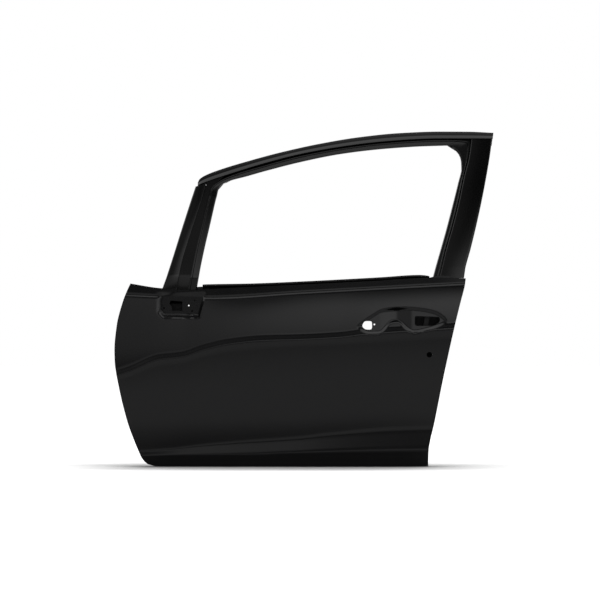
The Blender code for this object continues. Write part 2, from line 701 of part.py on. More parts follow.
def build_outer_panel():
    """The skin, with its edges hemmed round the inner panel's flange in front, behind and below."""

    def place(u, v):
        inner_u, inner_v = min(max(u, 0), 1), max(v, 0)
        x, z = panel_place(inner_u, inner_v)
        y = skin_y(x, z)
        if u < 0 or u > 1:
            x += HEM_RETURN * max(-1 - u, 0) - HEM_RETURN * max(u - 2, 0)
            z = panel_height(x, inner_v)
            y = skin_y(x, z) + HEM_DEPTH
        if v < 0:
            z += HEM_RETURN * max(-1 - v, 0)
            y = skin_y(x, z) + HEM_DEPTH
        return x, y, z

    def dropped(u, v):
        on_side, below = not 0 < u < 1, v < 0
        return on_side and v < 2 or below and not PANEL_COLUMN_SHARES[3] < u < PANEL_COLUMN_SHARES[-2]

    columns = [-2, -1] + PANEL_COLUMN_SHARES + [2, 3]
    rows = [-2, -1] + PANEL_ROW_SHARES
    skin = sheet("outer_panel", columns, rows, place, SKIN_SHEET, MATERIALS["skin"], False, FINE_ZONES, dropped)
    holes = [handle_front_outline(), handle_rear_outline(), mirror_plug_outline()]
    holes += [hole(data, SMALL_HOLE_SIDES) for data in MIRROR_BOLT_HOLES + [MIRROR_SIGHT_HOLE, HANDLE_PIN_HOLE]]
    holes.append(hole(LOCK_HOLE))
    cut(skin, [(outline, "Y", -FACE_DEPTH - CUT_OVERRUN, 0) for outline in holes])


def front_wall(z):
    return max(0, front_edge(z) + HEM_RETURN + HEM_CLEARANCE)


def rear_wall(z):
    low, high = (up(share) for share in LATCH_WALL_SHARES)
    slope = (rear_edge(high) - rear_edge(low)) / (high - low)
    return rear_edge(low) + (z - low) * slope - REAR_FLANGE


def top_flange_y(x, z):
    """Y of the inner panel along its top: in the skin's plane ahead of the window frame, deep under it."""
    start, end = (along(share) for share in TOP_CLOSE_SHARES)
    return mix(skin_y(x, z) + FLANGE_DEPTH, panel_top_y(x), ease((x - start) / (end - start)))


def inner_panel_place(u, v):
    """Place of the inner panel's face: u runs over front flange, wall, trim face, rear wall and flange."""
    on_flange = u <= -2 or u >= 3

    def height(x):
        if v == -2:
            return PANEL_BOTTOM_Z + HEM_CLEARANCE
        if v < 1:
            return PANEL_BOTTOM_Z + FLANGE_HEIGHT + WALL_DRAFT * (v + 1)
        if on_flange:
            return panel_height(x, v) - (HEM_CLEARANCE if v == LAST_LINE else 0)
        if v < 7:
            return up(INNER_ROW_SHARES[v])
        drops = {7: FACE_DROP, 8: SHELF_DROP, 8.5: TOP_FLANGE, 9: 0}
        return panel_top(x) - drops[v]

    def across(z):
        if u <= -2:
            fold = front_wall(z) + (HINGE_SEAT_RISE if v > 0 else 0)
            return mix(fold, front_edge(z) + HEM_CLEARANCE, -2 - u)
        if u == 4:
            return rear_edge(z) - HEM_CLEARANCE
        if -2 < u <= -1 and v > 8:
            return front_wall(z) + PANEL_CORNER / 2 * (u + 2)
        corner = 0 if u <= -1 or u >= 2 else PANEL_CORNER
        return mix(front_wall(z) + corner, rear_wall(z) - corner, min(max(u, 0), 1))

    z = height(along(min(max(u, 0), 1)))
    for _ in range(SETTLE_ROUNDS):
        x = across(z)
        z = height(x)
    if on_flange or v <= -1:
        return x, skin_y(x, z) + FLANGE_DEPTH, z
    depth = TRIM_DEPTH
    if u < 0 or u > 1 or v == 0:
        depth -= PANEL_CORNER
    if EMBOSS_SHARES[0][0] < u < EMBOSS_SHARES[1][0] and EMBOSS_SHARES[0][1] <= v < EMBOSS_SHARES[1][1]:
        depth -= EMBOSS
    if v >= 8:
        top = top_flange_y(x, z)
        depth = min(depth, mix(TRIM_DEPTH, top, 0.5) if v == 8 else top)
    if u in WALL_LINES and v > 0:
        depth = mix(skin_y(x, z) + FLANGE_DEPTH, depth, WALL_LINE_SHARE)
    return x, depth, z


def build_inner_panel():
    """The pressed pan: hem flange, hinge wall, latch wall, trim face with its access holes."""
    rows = [-2, -1, 0] + list(INNER_ROW_SHARES) + [7, 8, 8.5, 9]
    weld, gap = BLANK_WELD_SHARE, BLANK_GAP_SHARE
    ahead_of_weld = [u for u in INNER_COLUMN_SHARES if u < weld]
    behind_weld = [u for u in INNER_COLUMN_SHARES if u > weld]
    blanks = {
        "inner_panel_front": [-3, -2.5, -2, -1.5, -1, *ahead_of_weld, weld - gap],
        "inner_panel": [weld + gap, *behind_weld, 2, 2.5, 3, 4],
    }
    faces = [soft_outline([side(corner) for corner in corners], SERVICE_CORNER)
             for corners in (FRONT_SERVICE_SHARES, REAR_SERVICE_SHARES,
                             LOW_FRONT_SERVICE_SHARES, LOW_REAR_SERVICE_SHARES)]
    faces.append(hole(SPEAKER_HOLE, LARGE_HOLE_SIDES))
    faces.append(box_outline(side(HANDLE_ACCESS_HOLE[0]), *HANDLE_ACCESS_HOLE[1:], HOLE_CORNER))
    faces.append(hole(MIRROR_ACCESS_HOLE))
    middle = side(SPEAKER_HOLE[0])
    for i in range(SPEAKER_SCREWS):
        turn = 2 * math.pi * (i + 0.25) / SPEAKER_SCREWS
        spot = (middle[0] + SPEAKER_SCREW_CIRCLE / 2 * math.cos(turn),
                middle[1] + SPEAKER_SCREW_CIRCLE / 2 * math.sin(turn))
        faces.append(round_outline(spot, SCREW_HOLE, SCREW_HOLE, SMALL_HOLE_SIDES))
    for place in TRIM_CLIP_SHARES:
        faces.append(round_outline(side(place), TRIM_CLIP_HOLE, TRIM_CLIP_HOLE, SMALL_HOLE_SIDES))
    holes = [(outline, "Y", TRIM_DEPTH - CUT_OVERRUN, TRIM_DEPTH + CUT_OVERRUN) for outline in faces]
    holes += [(outline, "X", -CUT_OVERRUN, CUT_OVERRUN) for outline in hinge_wall_holes()]
    holes.append(latch_mouth())
    x = rear_wall(up(LATCH_SHARE))
    holes += [(outline, "X", x - CUT_OVERRUN, x + CUT_OVERRUN) for outline in latch_screws()]
    for share in DRAIN_SHARES:
        x, floor = along(share), PANEL_BOTTOM_Z + FLANGE_HEIGHT
        slot = box_outline((x, DRAIN_DEPTH), *DRAIN_SLOT)
        holes.append((slot, "Z", floor - WALL_DRAFT, floor + 2 * WALL_DRAFT))
    for name, columns in blanks.items():
        blank = sheet(name, columns, rows, inner_panel_place, PANEL_SHEET, MATERIALS["structure"], True)
        cut(blank, holes)


def hinge_heights():
    return 0, -HINGE_SPACING


def hinge_wall_holes():
    """Outlines, in (y, z), of both hinges' bolt holes, the check strap's slot and the harness hole."""
    outlines = []
    for z in hinge_heights():
        for way in (-1, 1):
            spot = (0, z + way * HINGE_BOLT_SPACING / 2)
            outlines.append(round_outline(spot, HINGE_BOLT_HOLE, HINGE_BOLT_HOLE))
    outlines.append(box_outline((0, -HINGE_SPACING / 2), *CHECK_SLOT))
    outlines.append(round_outline((HARNESS_DEPTH, -HINGE_SPACING / 4), HARNESS_HOLE, HARNESS_HOLE))
    return outlines


def build_belt():
    """The two belt reinforcements, one behind the skin and one on the inner panel's top flange."""

    def outer_place(u, v):
        x, _ = panel_place(u, LAST_LINE)
        top = top_line(x) - HEM_CLEARANCE
        top += (OUTER_BELT_RISE + HEM_CLEARANCE) * ease((x - rise_start) / (rise_end - rise_start))
        low = band_line(x) + BAND_ROLL + SEAM_GAP
        heights = (low - BELT_SLOPE - OUTER_BELT_FOOT, low - BELT_SLOPE, low, top)
        share = (heights[int(v)] - band_line(x) - BAND_ROLL) / (top_line(x) - band_line(x) - BAND_ROLL)
        rolled = PANEL_LINES[-2][1]
        y = -FACE_DEPTH + plan_curve(x) + mix(rolled, BELT_TUCK, share) + SKIN_SHEET + SEAM_GAP
        return x, y + (BELT_SHELF if v < 2 else 0), heights[int(v)]

    def inner_place(u, v):
        x = mix(along(INNER_BELT_REACH_SHARES[0]), along(INNER_BELT_REACH_SHARES[1]), u)
        top = inner_belt(x)
        drops = (BELT_FLANGE + BELT_SLOPE + BELT_FOOT, BELT_FLANGE + BELT_SLOPE, BELT_FLANGE, 0)
        slot = belt_y(x) + SKIN_SHEET + GLASS_SLOT
        seat = panel_top_y(x) - PANEL_SHEET - SEAM_GAP - HEAVY_SHEET
        return x, slot if v > 1 else seat, top - drops[int(v)]

    rise_start, rise_end = (along(share) for share in OUTER_BELT_RISE_SHARES)
    first, last = OUTER_BELT_SHARES
    columns = [u for u in PANEL_COLUMN_SHARES if first <= u <= last]
    sheet("outer_belt_reinforcement", columns, range(4), outer_place, FRAME_SHEET, MATERIALS["structure"])
    steps = [i / BELT_STEPS for i in range(BELT_STEPS + 1)]
    sheet("inner_belt_reinforcement", steps, range(4), inner_place, HEAVY_SHEET, MATERIALS["structure"])


def station_line(shares):
    """Place (x, z) at a station number along a curve through the frame's points."""
    across = smooth_line([(i, along(a)) for i, (a, _) in enumerate(shares)])
    height = smooth_line([(i, over(b)) for i, (_, b) in enumerate(shares)])
    return lambda t: (across(t), height(t))


window_edge = station_line(WINDOW_SHARES)
channel_lip = station_line(LIP_SHARES)


def ahead(t, distance):
    """Station number a distance on from t along the window's edge."""
    step = math.copysign(STATION_STEP_SHARE, distance)
    return t + abs(distance) * step / math.dist(window_edge(t), window_edge(t + step))


def channel_place(t, w):
    """Place across the glass channel: lip, drop, floor and curled window edge."""
    across, sink = CHANNEL_SECTION[int(w)]
    (x0, z0), (x1, z1) = channel_lip(t), window_edge(t)
    x, z = mix(x0, x1, across), mix(z0, z1, across)
    return x, frame_y(x, z) + sink, z


def build_channels():
    """The glass channel in three lengths, with a pressed gusset in each upper corner."""
    front, rear = FRONT_CORNER_SHARES, REAR_CORNER_SHARES
    lengths = [
        ("front_glass_channel", 0, front[0]), ("front_corner_gusset", *front),
        ("header_glass_channel", front[1], rear[0]), ("rear_corner_gusset", *rear),
        ("rear_glass_channel", rear[1], LAST_STATION_SHARE),
    ]
    for name, first, last in lengths:
        stations = [first, *range(first + 1, last), last]
        if first:
            stations[0] = ahead(first, JOINT_GAP)
        if last < LAST_STATION_SHARE:
            stations[-1] = ahead(last, -JOINT_GAP)
        sheet(name, stations, range(len(CHANNEL_SECTION)), channel_place, FRAME_SHEET, MATERIALS["frame"], True)


def banded(left, right, low, high, bands):
    """Place function of a patch with its section across the v rows, each band a share and a sink."""

    def height(x, v):
        return mix(low(x), high(x), bands[int(v)][0])

    spot = settle(left, right, height)

    def place(u, v):
        x, z = spot(u, v)
        return x, frame_y(x, z) + bands[int(v)][1], z

    return place


def ribbed(left, right, low, high, ribs):
    """Place function of an upright patch with its section across u; rows are frame heights between seams."""

    seams = {FOOT_ROW: low, SEAM_ROW: high}

    def place(u, v):
        across, sink = ribs[int(u)]
        height = seams.get(v, lambda x: over(v))
        z = height(left(BELT_Z))
        for _ in range(SETTLE_ROUNDS):
            x = mix(left(z), right(z), across)
            z = height(x)
        return x, frame_y(x, z) + sink, z

    return place


def build_frame_faces():
    """The outer pressings of the window frame."""
    step_start, step_end = HEADER_STEP_SHARES
    roof_bands = [
        (0, FRAME_RECESS), (step_start, 0), (step_end, HEADER_LIP_SINK), (1, HEADER_LIP_SINK), (1, FRAME_FOLD),
    ]
    tip = lambda z: along(ROOF_SHARES[0][0])
    tail = lambda z: rear_sash(z) + HEADER_TAIL
    low = lambda x: header_foot(x) + SEAM_GAP
    place = banded(tip, tail, low, roof_line, roof_bands)
    sheet("header_rail_outer", HEADER_COLUMN_SHARES, range(len(roof_bands)), place, FRAME_SHEET, MATERIALS["frame"])

    foot = lambda x: BELT_Z - FRAME_TUCK_UNDER
    seam = lambda x: header_foot(x) - SEAM_GAP
    rows = [FOOT_ROW, *FRONT_ROW_SHARES, SEAM_ROW]
    ribs = [(0, FRAME_FOLD), (0, FRAME_ROLL), (0.12, 0), (1, 0), (1, FRAME_RECESS)]
    place = ribbed(front_sash, filler_front, foot, seam, ribs)
    sheet("front_sash_outer", range(len(ribs)), rows, place, FRAME_SHEET, MATERIALS["frame"])

    lip = upright_line(LIP_SHARES[:FRONT_CORNER_SHARES[1]], over)
    left = lambda z: filler_front(z) + FRAME_SHEET + SEAM_GAP
    right = lambda z: min(lip(z), along(FILLER_END_SHARE)) - FRAME_SHEET - SEAM_GAP
    place = ribbed(left, right, foot, seam, [(0, FRAME_RECESS), (1, FRAME_RECESS)])
    rows = [FOOT_ROW, *FRONT_ROW_SHARES, *FILLER_ROW_SHARES, SEAM_ROW]
    sheet("front_filler_web", range(2), rows, place, FRAME_SHEET, MATERIALS["frame"])

    lip = upright_line(LIP_SHARES[REAR_CORNER_SHARES[0] + 1:], over)
    ribs = [(0, FRAME_RECESS), (0.04, 0), (0.93, 0), (1, FRAME_ROLL), (1, FRAME_FOLD)]
    left = lambda z: lip(z) + FRAME_SHEET + SEAM_GAP
    top_seam = lambda x: header_foot(x) - SEAM_GAP
    rear_foot = lambda x: top_line(x) + REAR_FACE_RISE
    place = ribbed(left, rear_sash, rear_foot, top_seam, ribs)
    rows = [FOOT_ROW, *REAR_ROW_SHARES, SEAM_ROW]
    sheet("rear_sash_panel", range(len(ribs)), rows, place, FRAME_SHEET, MATERIALS["frame"])


def build_frame_backs():
    """The inner pressings that close the window frame towards the cabin."""
    inner_foot = level_line(HEADER_INNER_FOOT_SHARES, over)
    tip = lambda z: along(ROOF_SHARES[0][0])
    tail = lambda z: rear_sash(z) + HEADER_TAIL
    flat = [(0, FRAME_DEPTH), (1, FRAME_DEPTH)]
    low = lambda x: inner_foot(x) + SEAM_GAP
    place = banded(tip, tail, low, roof_line, flat)
    sheet("header_rail_inner", HEADER_COLUMN_SHARES, range(2), place, FRAME_SHEET, MATERIALS["frame"], True)

    foot = lambda x: BELT_Z - FRAME_TUCK_UNDER
    seam = lambda x: inner_foot(x) - SEAM_GAP
    window = upright_line(WINDOW_SHARES[:FRONT_CORNER_SHARES[0] + 4], over)
    rows = [FOOT_ROW, *FRONT_ROW_SHARES, FRONT_CORNER_ROW_SHARE, SEAM_ROW]
    place = ribbed(front_sash, window, foot, seam, flat)
    sheet("front_sash_inner", range(2), rows, place, FRAME_SHEET, MATERIALS["frame"], True)

    window = upright_line(WINDOW_SHARES[REAR_CORNER_SHARES[0]:], over)
    rear_foot = lambda x: top_line(x) - REAR_FRAME_TUCK

    def tongue(z):
        inside = rear_wall(z) - PANEL_SHEET - TONGUE_CLEARANCE
        return rear_sash(z) if z > over(TONGUE_SHARE) else min(inside, rear_sash(z))

    place = ribbed(window, tongue, rear_foot, seam, flat)
    rows = [FOOT_ROW, TONGUE_SHARE, TONGUE_SHARE + STATION_STEP_SHARE, *REAR_ROW_SHARES, SEAM_ROW]
    sheet("rear_sash_inner", range(2), rows, place, FRAME_SHEET, MATERIALS["frame"], True)


def beam_ends():
    x0 = along(BEAM_FRONT_SHARE)
    z0 = -HINGE_SPACING + NUT_PLATE_HEIGHT / 2 + BRACKET_CLEARANCE + BRACKET_HEIGHT / 2
    x1, z1 = side(BEAM_REAR_SHARES)
    deep = SKIN_SHEET + BEAM_CLEARANCE + BEAM_RADIUS
    return (x0, skin_y(x0, z0) + deep, z0), (x1, skin_y(x1, z1) + deep, z1)


def build_beam():
    """The side impact tube on its two end brackets, with mastic pads between it and the skin."""
    start, end = (np.array(place) for place in beam_ends())
    shape = bmesh.new()
    length = float(np.linalg.norm(end - start))
    bmesh.ops.create_cone(
        shape, cap_ends=False, segments=BEAM_SIDES, radius1=BEAM_RADIUS, radius2=BEAM_RADIUS, depth=length
    )
    turn = mathutils.Vector(end - start).to_track_quat("Z", "Y").to_matrix().to_4x4()
    bmesh.ops.transform(shape, matrix=turn, verts=shape.verts)
    beam = add_object("side_impact_beam", shape, MATERIALS["structure"])
    beam.location = (start + end) / 2
    thicken(beam, BEAM_WALL, False)

    back = BEAM_RADIUS + SEAM_GAP
    plates = PANEL_SHEET + HEAVY_SHEET + 2 * SEAM_GAP
    lean = 1 / math.cos(latch_lean())
    walls = [
        ("beam_front_bracket", start, lambda z: plates, [(0, BRACKET_FOOT), (0, 0), (1, 0)]),
        ("beam_rear_bracket", end, lambda z: rear_wall(z) - (PANEL_SHEET + SEAM_GAP) * lean,
         [(-1, 0), (0, 0), (0, BRACKET_FOOT)]),
    ]
    for name, spot, wall, corners in walls:
        reach = abs(spot[0] - wall(spot[2])) + BRACKET_LENGTH / 2

        def place(u, v, spot=spot, wall=wall, corners=corners, reach=reach):
            z = spot[2] + BRACKET_HEIGHT * (v - 0.5)
            across, depth = corners[int(u)]
            return wall(z) + across * reach, spot[1] + back + depth, z

        sheet(name, range(3), range(2), place, HEAVY_SHEET, MATERIALS["structure"])

    for i, share in enumerate(PAD_SHARES, 1):
        x, y, z = mix(start, end, share)
        around = [(x + a * PAD_RADIUS, z + b * PAD_RADIUS) for a, b in ((0, 0), (0, -1), (0, 1), (-1, 0), (1, 0))]
        low = max(skin_y(*spot) for spot in around) + SKIN_SHEET + PAD_GAP
        outline = round_outline((x, z), 2 * PAD_RADIUS, 2 * PAD_RADIUS)
        plate("mastic_pad_%d" % i, outline, "Y", low, y - BEAM_RADIUS - SEAM_GAP, MATERIALS["mastic"])


def latch_lean():
    """Angle of the latch wall from upright."""
    low, high = (up(share) for share in LATCH_WALL_SHARES)
    return math.atan2(rear_wall(high) - rear_wall(low), high - low)


def build_hinge_steel():
    middle = -HINGE_SPACING / 2
    start = PANEL_SHEET + SEAM_GAP
    outline = box_outline((0, middle), HINGE_PLATE_WIDTH, HINGE_PLATE_HEIGHT)
    structure = MATERIALS["structure"]
    plate("hinge_reinforcement", outline, "X", start, start + HEAVY_SHEET, structure, hinge_wall_holes())
    start += HEAVY_SHEET + SEAM_GAP
    for name, z in zip(("upper_hinge_nut_plate", "lower_hinge_nut_plate"), hinge_heights()):
        outline = box_outline((0, z), NUT_PLATE_WIDTH, NUT_PLATE_HEIGHT)
        threads = [
            round_outline((0, z + way * HINGE_BOLT_SPACING / 2), NUT_THREAD, NUT_THREAD) for way in (-1, 1)
        ]
        plate(name, outline, "X", start, start + NUT_PLATE, structure, threads)
    outline = box_outline((0, middle), CHECK_PLATE_WIDTH, CHECK_PLATE_HEIGHT)
    slot = box_outline((0, middle), *CHECK_SLOT)
    plate("check_link_reinforcement", outline, "X", start, start + HEAVY_SHEET, structure, [slot])


def latch_screws():
    return [round_outline((way * LATCH_PLATE_WIDTH / 4, up(LATCH_SHARE) + way * LATCH_SCREW_SPACING / 2),
                          TRIM_CLIP_HOLE, TRIM_CLIP_HOLE, SMALL_HOLE_SIDES) for way in (-1, 1)]


def latch_mouth():
    """The striker's way in, open to the trim face, as a prism along X."""
    z = up(LATCH_SHARE)
    depth, height = LATCH_MOUTH
    outline = box_outline((TRIM_DEPTH - depth / 2 + CUT_OVERRUN / 2, z), depth + CUT_OVERRUN, height)
    return outline, "X", rear_wall(z) - depth, rear_wall(z) + CUT_OVERRUN


def build_latch_steel():
    inset = (PANEL_SHEET + SEAM_GAP) / math.cos(latch_lean())

    def place(u, v):
        z = up(LATCH_SHARE) + LATCH_PLATE_HEIGHT * (v - 0.5)
        return rear_wall(z) - inset, LATCH_PLATE_WIDTH * (u - 0.5), z

    steel = sheet("latch_reinforcement", range(2), range(2), place, HEAVY_SHEET, MATERIALS["structure"])
    x = rear_wall(up(LATCH_SHARE))
    holes = [(outline, "X", x - 2 * CUT_OVERRUN, x + CUT_OVERRUN) for outline in latch_screws()]
    cut(steel, holes + [latch_mouth()])


def build_handle_steel():
    (x0, z0), (x1, z1) = (side(corner) for corner in HANDLE_PLATE_SHARES)

    def place(u, v):
        x, z = mix(x0, x1, u), mix(z0, z1, v)
        return x, handle_seat_y(z) + SKIN_SHEET + SEAM_GAP, z

    steel = sheet("handle_reinforcement", range(2), range(2), place, HEAVY_SHEET, MATERIALS["structure"])
    (a, low), (b, high) = (side(corner) for corner in HANDLE_PLATE_BOWL_SHARES)
    bowl = box_outline(((a + b) / 2, (low + high) / 2), b - a, high - low, HANDLE_BOWL_CORNER)
    holes = [bowl, handle_front_outline(), handle_rear_outline(), hole(HANDLE_PIN_HOLE, SMALL_HOLE_SIDES)]
    cut(steel, [(outline, "Y", -FACE_DEPTH - CUT_OVERRUN, 0) for outline in holes])


def build_mirror_steel():
    (x0, z0), (x1, z1) = (side(corner) for corner in MIRROR_PLATE_SHARES)
    start = mirror_seat_y() + SKIN_SHEET + SEAM_GAP
    outline = box_outline(((x0 + x1) / 2, (z0 + z1) / 2), x1 - x0, z1 - z0, HOLE_CORNER)
    holes = [mirror_plug_outline()] + [hole(data, SMALL_HOLE_SIDES) for data in MIRROR_BOLT_HOLES]
    holes.append(hole(MIRROR_SIGHT_HOLE, SMALL_HOLE_SIDES))
    plate("mirror_reinforcement", outline, "Y", start, start + HEAVY_SHEET, MATERIALS["structure"], holes)
    start += HEAVY_SHEET + SEAM_GAP
    for i, data in enumerate(MIRROR_BOLT_HOLES, 1):
        spot = side(data[0])
        hexagon = round_outline(spot, WELD_NUT_SIZE, WELD_NUT_SIZE, 6)
        bore = round_outline(spot, WELD_NUT_BORE, WELD_NUT_BORE, SMALL_HOLE_SIDES)
        plate("mirror_weld_nut_%d" % i, hexagon, "Y", start, start + WELD_NUT_HEIGHT, MATERIALS["structure"], [bore])


def build_glass_runs():
    """The lower glass channels inside the body, each on a tab to the inner panel."""
    front_top = BELT_Z - FRAME_TUCK_UNDER - RUN_CLEARANCE
    rear_top = top_line(along(REAR_RUN_SHARES[0])) - REAR_FRAME_TUCK - RUN_CLEARANCE
    runs = [("front", FRONT_RUN_SHARES, front_top, 1, EMBOSS), ("rear", REAR_RUN_SHARES, rear_top, -1, 0)]
    for name, (top_share, foot_share, foot), top, way, emboss in runs:
        corners = [(way * RUN_WIDTH, 0), (0, 0), (0, RUN_DEPTH), (way * RUN_WIDTH, RUN_DEPTH)]
        if way < 0:
            corners.reverse()

        def place(u, v, top=top, foot=foot, ends=(top_share, foot_share), corners=corners):
            across, depth = corners[int(u)]
            x = mix(along(ends[1]), along(ends[0]), v) + across
            return x, RUN_FACE + depth, mix(up(foot), top, v)

        sheet(name + "_lower_channel", range(4), range(2), place, FRAME_SHEET, MATERIALS["structure"], True)
        seat = TRIM_DEPTH - emboss - PANEL_SHEET - SEAM_GAP - FRAME_SHEET
        z = up(RUN_TAB_SHARE)
        x = mix(along(foot_share), along(top_share), (z - up(foot)) / (top - up(foot)))
        back = RUN_FACE + RUN_DEPTH + SEAM_GAP
        points = [(back, z - RUN_TAB), (back, z), (seat, z), (seat, z + RUN_TAB)]

        def tab_place(u, v, x=x, points=points, way=way):
            return x + RUN_WIDTH * (u - (way < 0)), *points[int(v)]

        sheet(name + "_channel_tab", range(2), range(4), tab_place, FRAME_SHEET, MATERIALS["structure"])


def make_material(name, colour, metallic, roughness):
    material = bpy.data.materials.new(name)
    material.use_nodes = True
    shader = material.node_tree.nodes["Principled BSDF"]
    shader.inputs["Base Color"].default_value = (*colour, 1)
    shader.inputs["Metallic"].default_value = metallic
    shader.inputs["Roughness"].default_value = roughness
    material.diffuse_color = (*colour, 1)
    return material


def main():
    clear_scene()
    for name in ("car_door_shell", "cutters"):
        bpy.context.scene.collection.children.link(bpy.data.collections.new(name))
    MATERIALS["skin"] = make_material("primed_outer_panel", (0.012, 0.012, 0.013), 0.0, 0.30)
    MATERIALS["frame"] = make_material("primed_window_frame", (0.010, 0.010, 0.011), 0.0, 0.28)
    MATERIALS["structure"] = make_material("primed_structure", (0.014, 0.014, 0.015), 0.0, 0.42)
    MATERIALS["mastic"] = make_material("mastic", (0.03, 0.03, 0.03), 0.0, 0.8)
    build_outer_panel()
    build_inner_panel()
    build_belt()
    build_channels()
    build_frame_faces()
    build_frame_backs()
    build_beam()
    build_hinge_steel()
    build_latch_steel()
    build_handle_steel()
    build_mirror_steel()
    build_glass_runs()


main()
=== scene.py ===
"""A primed car door shell in a pale studio: fine sheet-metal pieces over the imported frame."""
import bisect
import json
import math

import bmesh
import bpy
from mathutils import Matrix, Vector


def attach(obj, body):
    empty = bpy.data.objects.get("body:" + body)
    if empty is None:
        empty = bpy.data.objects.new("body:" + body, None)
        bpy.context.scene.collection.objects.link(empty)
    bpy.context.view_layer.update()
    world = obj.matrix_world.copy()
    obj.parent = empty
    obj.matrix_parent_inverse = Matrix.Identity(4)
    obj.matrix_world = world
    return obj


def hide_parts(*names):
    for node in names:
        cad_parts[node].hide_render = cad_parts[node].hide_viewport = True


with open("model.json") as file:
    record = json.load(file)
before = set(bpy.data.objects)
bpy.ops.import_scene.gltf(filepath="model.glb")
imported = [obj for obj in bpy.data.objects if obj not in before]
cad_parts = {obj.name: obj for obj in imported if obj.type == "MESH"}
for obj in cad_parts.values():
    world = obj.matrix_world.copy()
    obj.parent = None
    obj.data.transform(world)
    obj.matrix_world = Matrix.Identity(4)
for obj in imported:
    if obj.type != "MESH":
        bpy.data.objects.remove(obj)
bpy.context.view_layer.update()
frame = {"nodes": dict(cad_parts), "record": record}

# Driving sizes of the door
PANEL_LENGTH = 1.164
PANEL_HEIGHT = 0.605
FRAME_HEIGHT = 0.507
HINGE_SETBACK = 0.070
HINGE_HEIGHT = 0.5075
HINGE_SPACING = 0.310
FACE_DEPTH = 0.085
TRIM_DEPTH = 0.050
FRAME_DEPTH = 0.034
FRAME_LEAN = math.radians(14)
FRAME_BOW = 0.058
FRAME_TUCK_UNDER = 0.028
LEAN_START = 0.020

# Sheet and seams
SKIN_SHEET = 0.0008
PANEL_SHEET = 0.0009
FRAME_SHEET = 0.0012
HEAVY_SHEET = 0.0016
SEAM_GAP = 0.0003
JOINT_GAP = 0.0008
FOLD_GAP = 0.0008
HEM_GAP = 0.0007
HEM_RETURN = 0.009
CUT_OVERRUN = 0.020

# Section of the outer panel: how far each line lies inside the outermost one
NOSE_CURVE = 0.024
TAIL_CURVE = 0.005
BELT_TUCK = 0.037
SHOULDER_TUCK = 0.032
SHOULDER_BULGE = 0.003
HOLLOW_TUCK = 0.0075
HOLLOW_RISE = 0.018
LOWER_CREASE_TUCK = 0.0020
FLARE_TUCK = 0.026
FLANK_BULGE = 0.006
SILL_STEP_TUCK = 0.021
SILL_STEP = 0.0025
SILL_STEP_HEIGHT = 0.004
BOTTOM_TUCK = 0.033
BAND_ROLL = 0.005
NOSE_SHARE = 0.60

# Outline of the outer panel, in shares of its length and height
FRONT_EDGE_SHARES = [
    (0.116, 0.0), (0.092, 0.015), (0.077, 0.048), (0.069, 0.081), (0.055, 0.146),
    (0.037, 0.244), (0.012, 0.441), (0.001, 0.572), (0.0, 0.637), (0.006, 0.768),
    (0.023, 0.899), (0.036, 0.964), (0.045, 1.0),
]
REAR_EDGE_SHARES = [
    (0.891, 0.0), (0.892, 0.081), (0.909, 0.244), (0.936, 0.506), (0.966, 0.768),
    (0.983, 0.899), (0.996, 0.997), (0.998, 1.028),
]
TOP_SHARES = [
    (0.045, 1.0), (0.124, 0.976), (0.21, 0.964), (0.329, 0.976), (0.527, 0.994),
    (0.726, 1.013), (0.907, 1.032), (0.998, 1.028),
]
BAND_SHARES = [
    (0.022, 0.932), (0.13, 0.923), (0.272, 0.916), (0.527, 0.944), (0.924, 0.986), (0.995, 0.993),
]
UPPER_CREASE_SHARES = [
    (0.004, 0.495), (0.043, 0.52), (0.126, 0.584), (0.193, 0.599), (0.251, 0.636),
    (0.322, 0.668), (0.418, 0.688), (0.527, 0.694), (0.64, 0.706), (0.717, 0.724), (0.963, 0.755),
]
LOWER_CREASE_SHARES = [
    (0.004, 0.479), (0.045, 0.502), (0.127, 0.561), (0.193, 0.577), (0.252, 0.61),
    (0.334, 0.64), (0.417, 0.653), (0.527, 0.669), (0.64, 0.677), (0.805, 0.695), (0.957, 0.709),
]
FLARE_SHARES = [
    (0.071, 0.083), (0.161, 0.095), (0.238, 0.113), (0.357, 0.134), (0.527, 0.158),
    (0.598, 0.175), (0.808, 0.209), (0.904, 0.214),
]
SILL_STEP_SHARES = [
    (0.082, 0.056), (0.187, 0.061), (0.399, 0.061), (0.47, 0.067), (0.635, 0.074), (0.892, 0.081),
]
INNER_BELT_SHARES = [
    (0.238, 0.983), (0.252, 0.995), (0.385, 1.0), (0.527, 1.011), (0.64, 1.022), (0.754, 1.034),
    (0.867, 1.047), (0.89, 1.043), (0.907, 1.032),
]
PANEL_TOP_SHARES = [
    (0.045, 0.996), (0.124, 0.974), (0.18, 0.976), (0.245, 0.982), (0.27, 0.988), (0.385, 0.991),
    (0.527, 1.002), (0.64, 1.013), (0.754, 1.025), (0.867, 1.038), (0.907, 1.025), (0.998, 1.022),
]

# Outlines of the window frame, in shares of the panel's length and the frame's height
ROOF_SHARES = [
    (0.235, 0.6636), (0.2379, 0.6798), (0.2549, 0.7085), (0.3003, 0.7495), (0.3853, 0.8087),
    (0.4704, 0.8614), (0.5838, 0.9193), (0.6972, 0.9629), (0.8106, 0.9896), (0.924, 1.0),
    (1.0091, 0.9993), (1.0797, 0.9922),
]
HEADER_FOOT_SHARES = [
    (0.2302, 0.6369), (0.2617, 0.6642), (0.3181, 0.7078), (0.4193, 0.7807), (0.5271, 0.8451),
    (0.6405, 0.8926), (0.7539, 0.9258), (0.8673, 0.9446), (0.924, 0.9485), (1.0768, 0.9485),
]
FRONT_SASH_SHARES = [
    (0.1401, -0.0034), (0.1463, 0.0356), (0.1517, 0.0746), (0.1625, 0.1527), (0.1834, 0.3089),
    (0.2047, 0.4651), (0.2265, 0.6213), (0.2325, 0.6603),
]
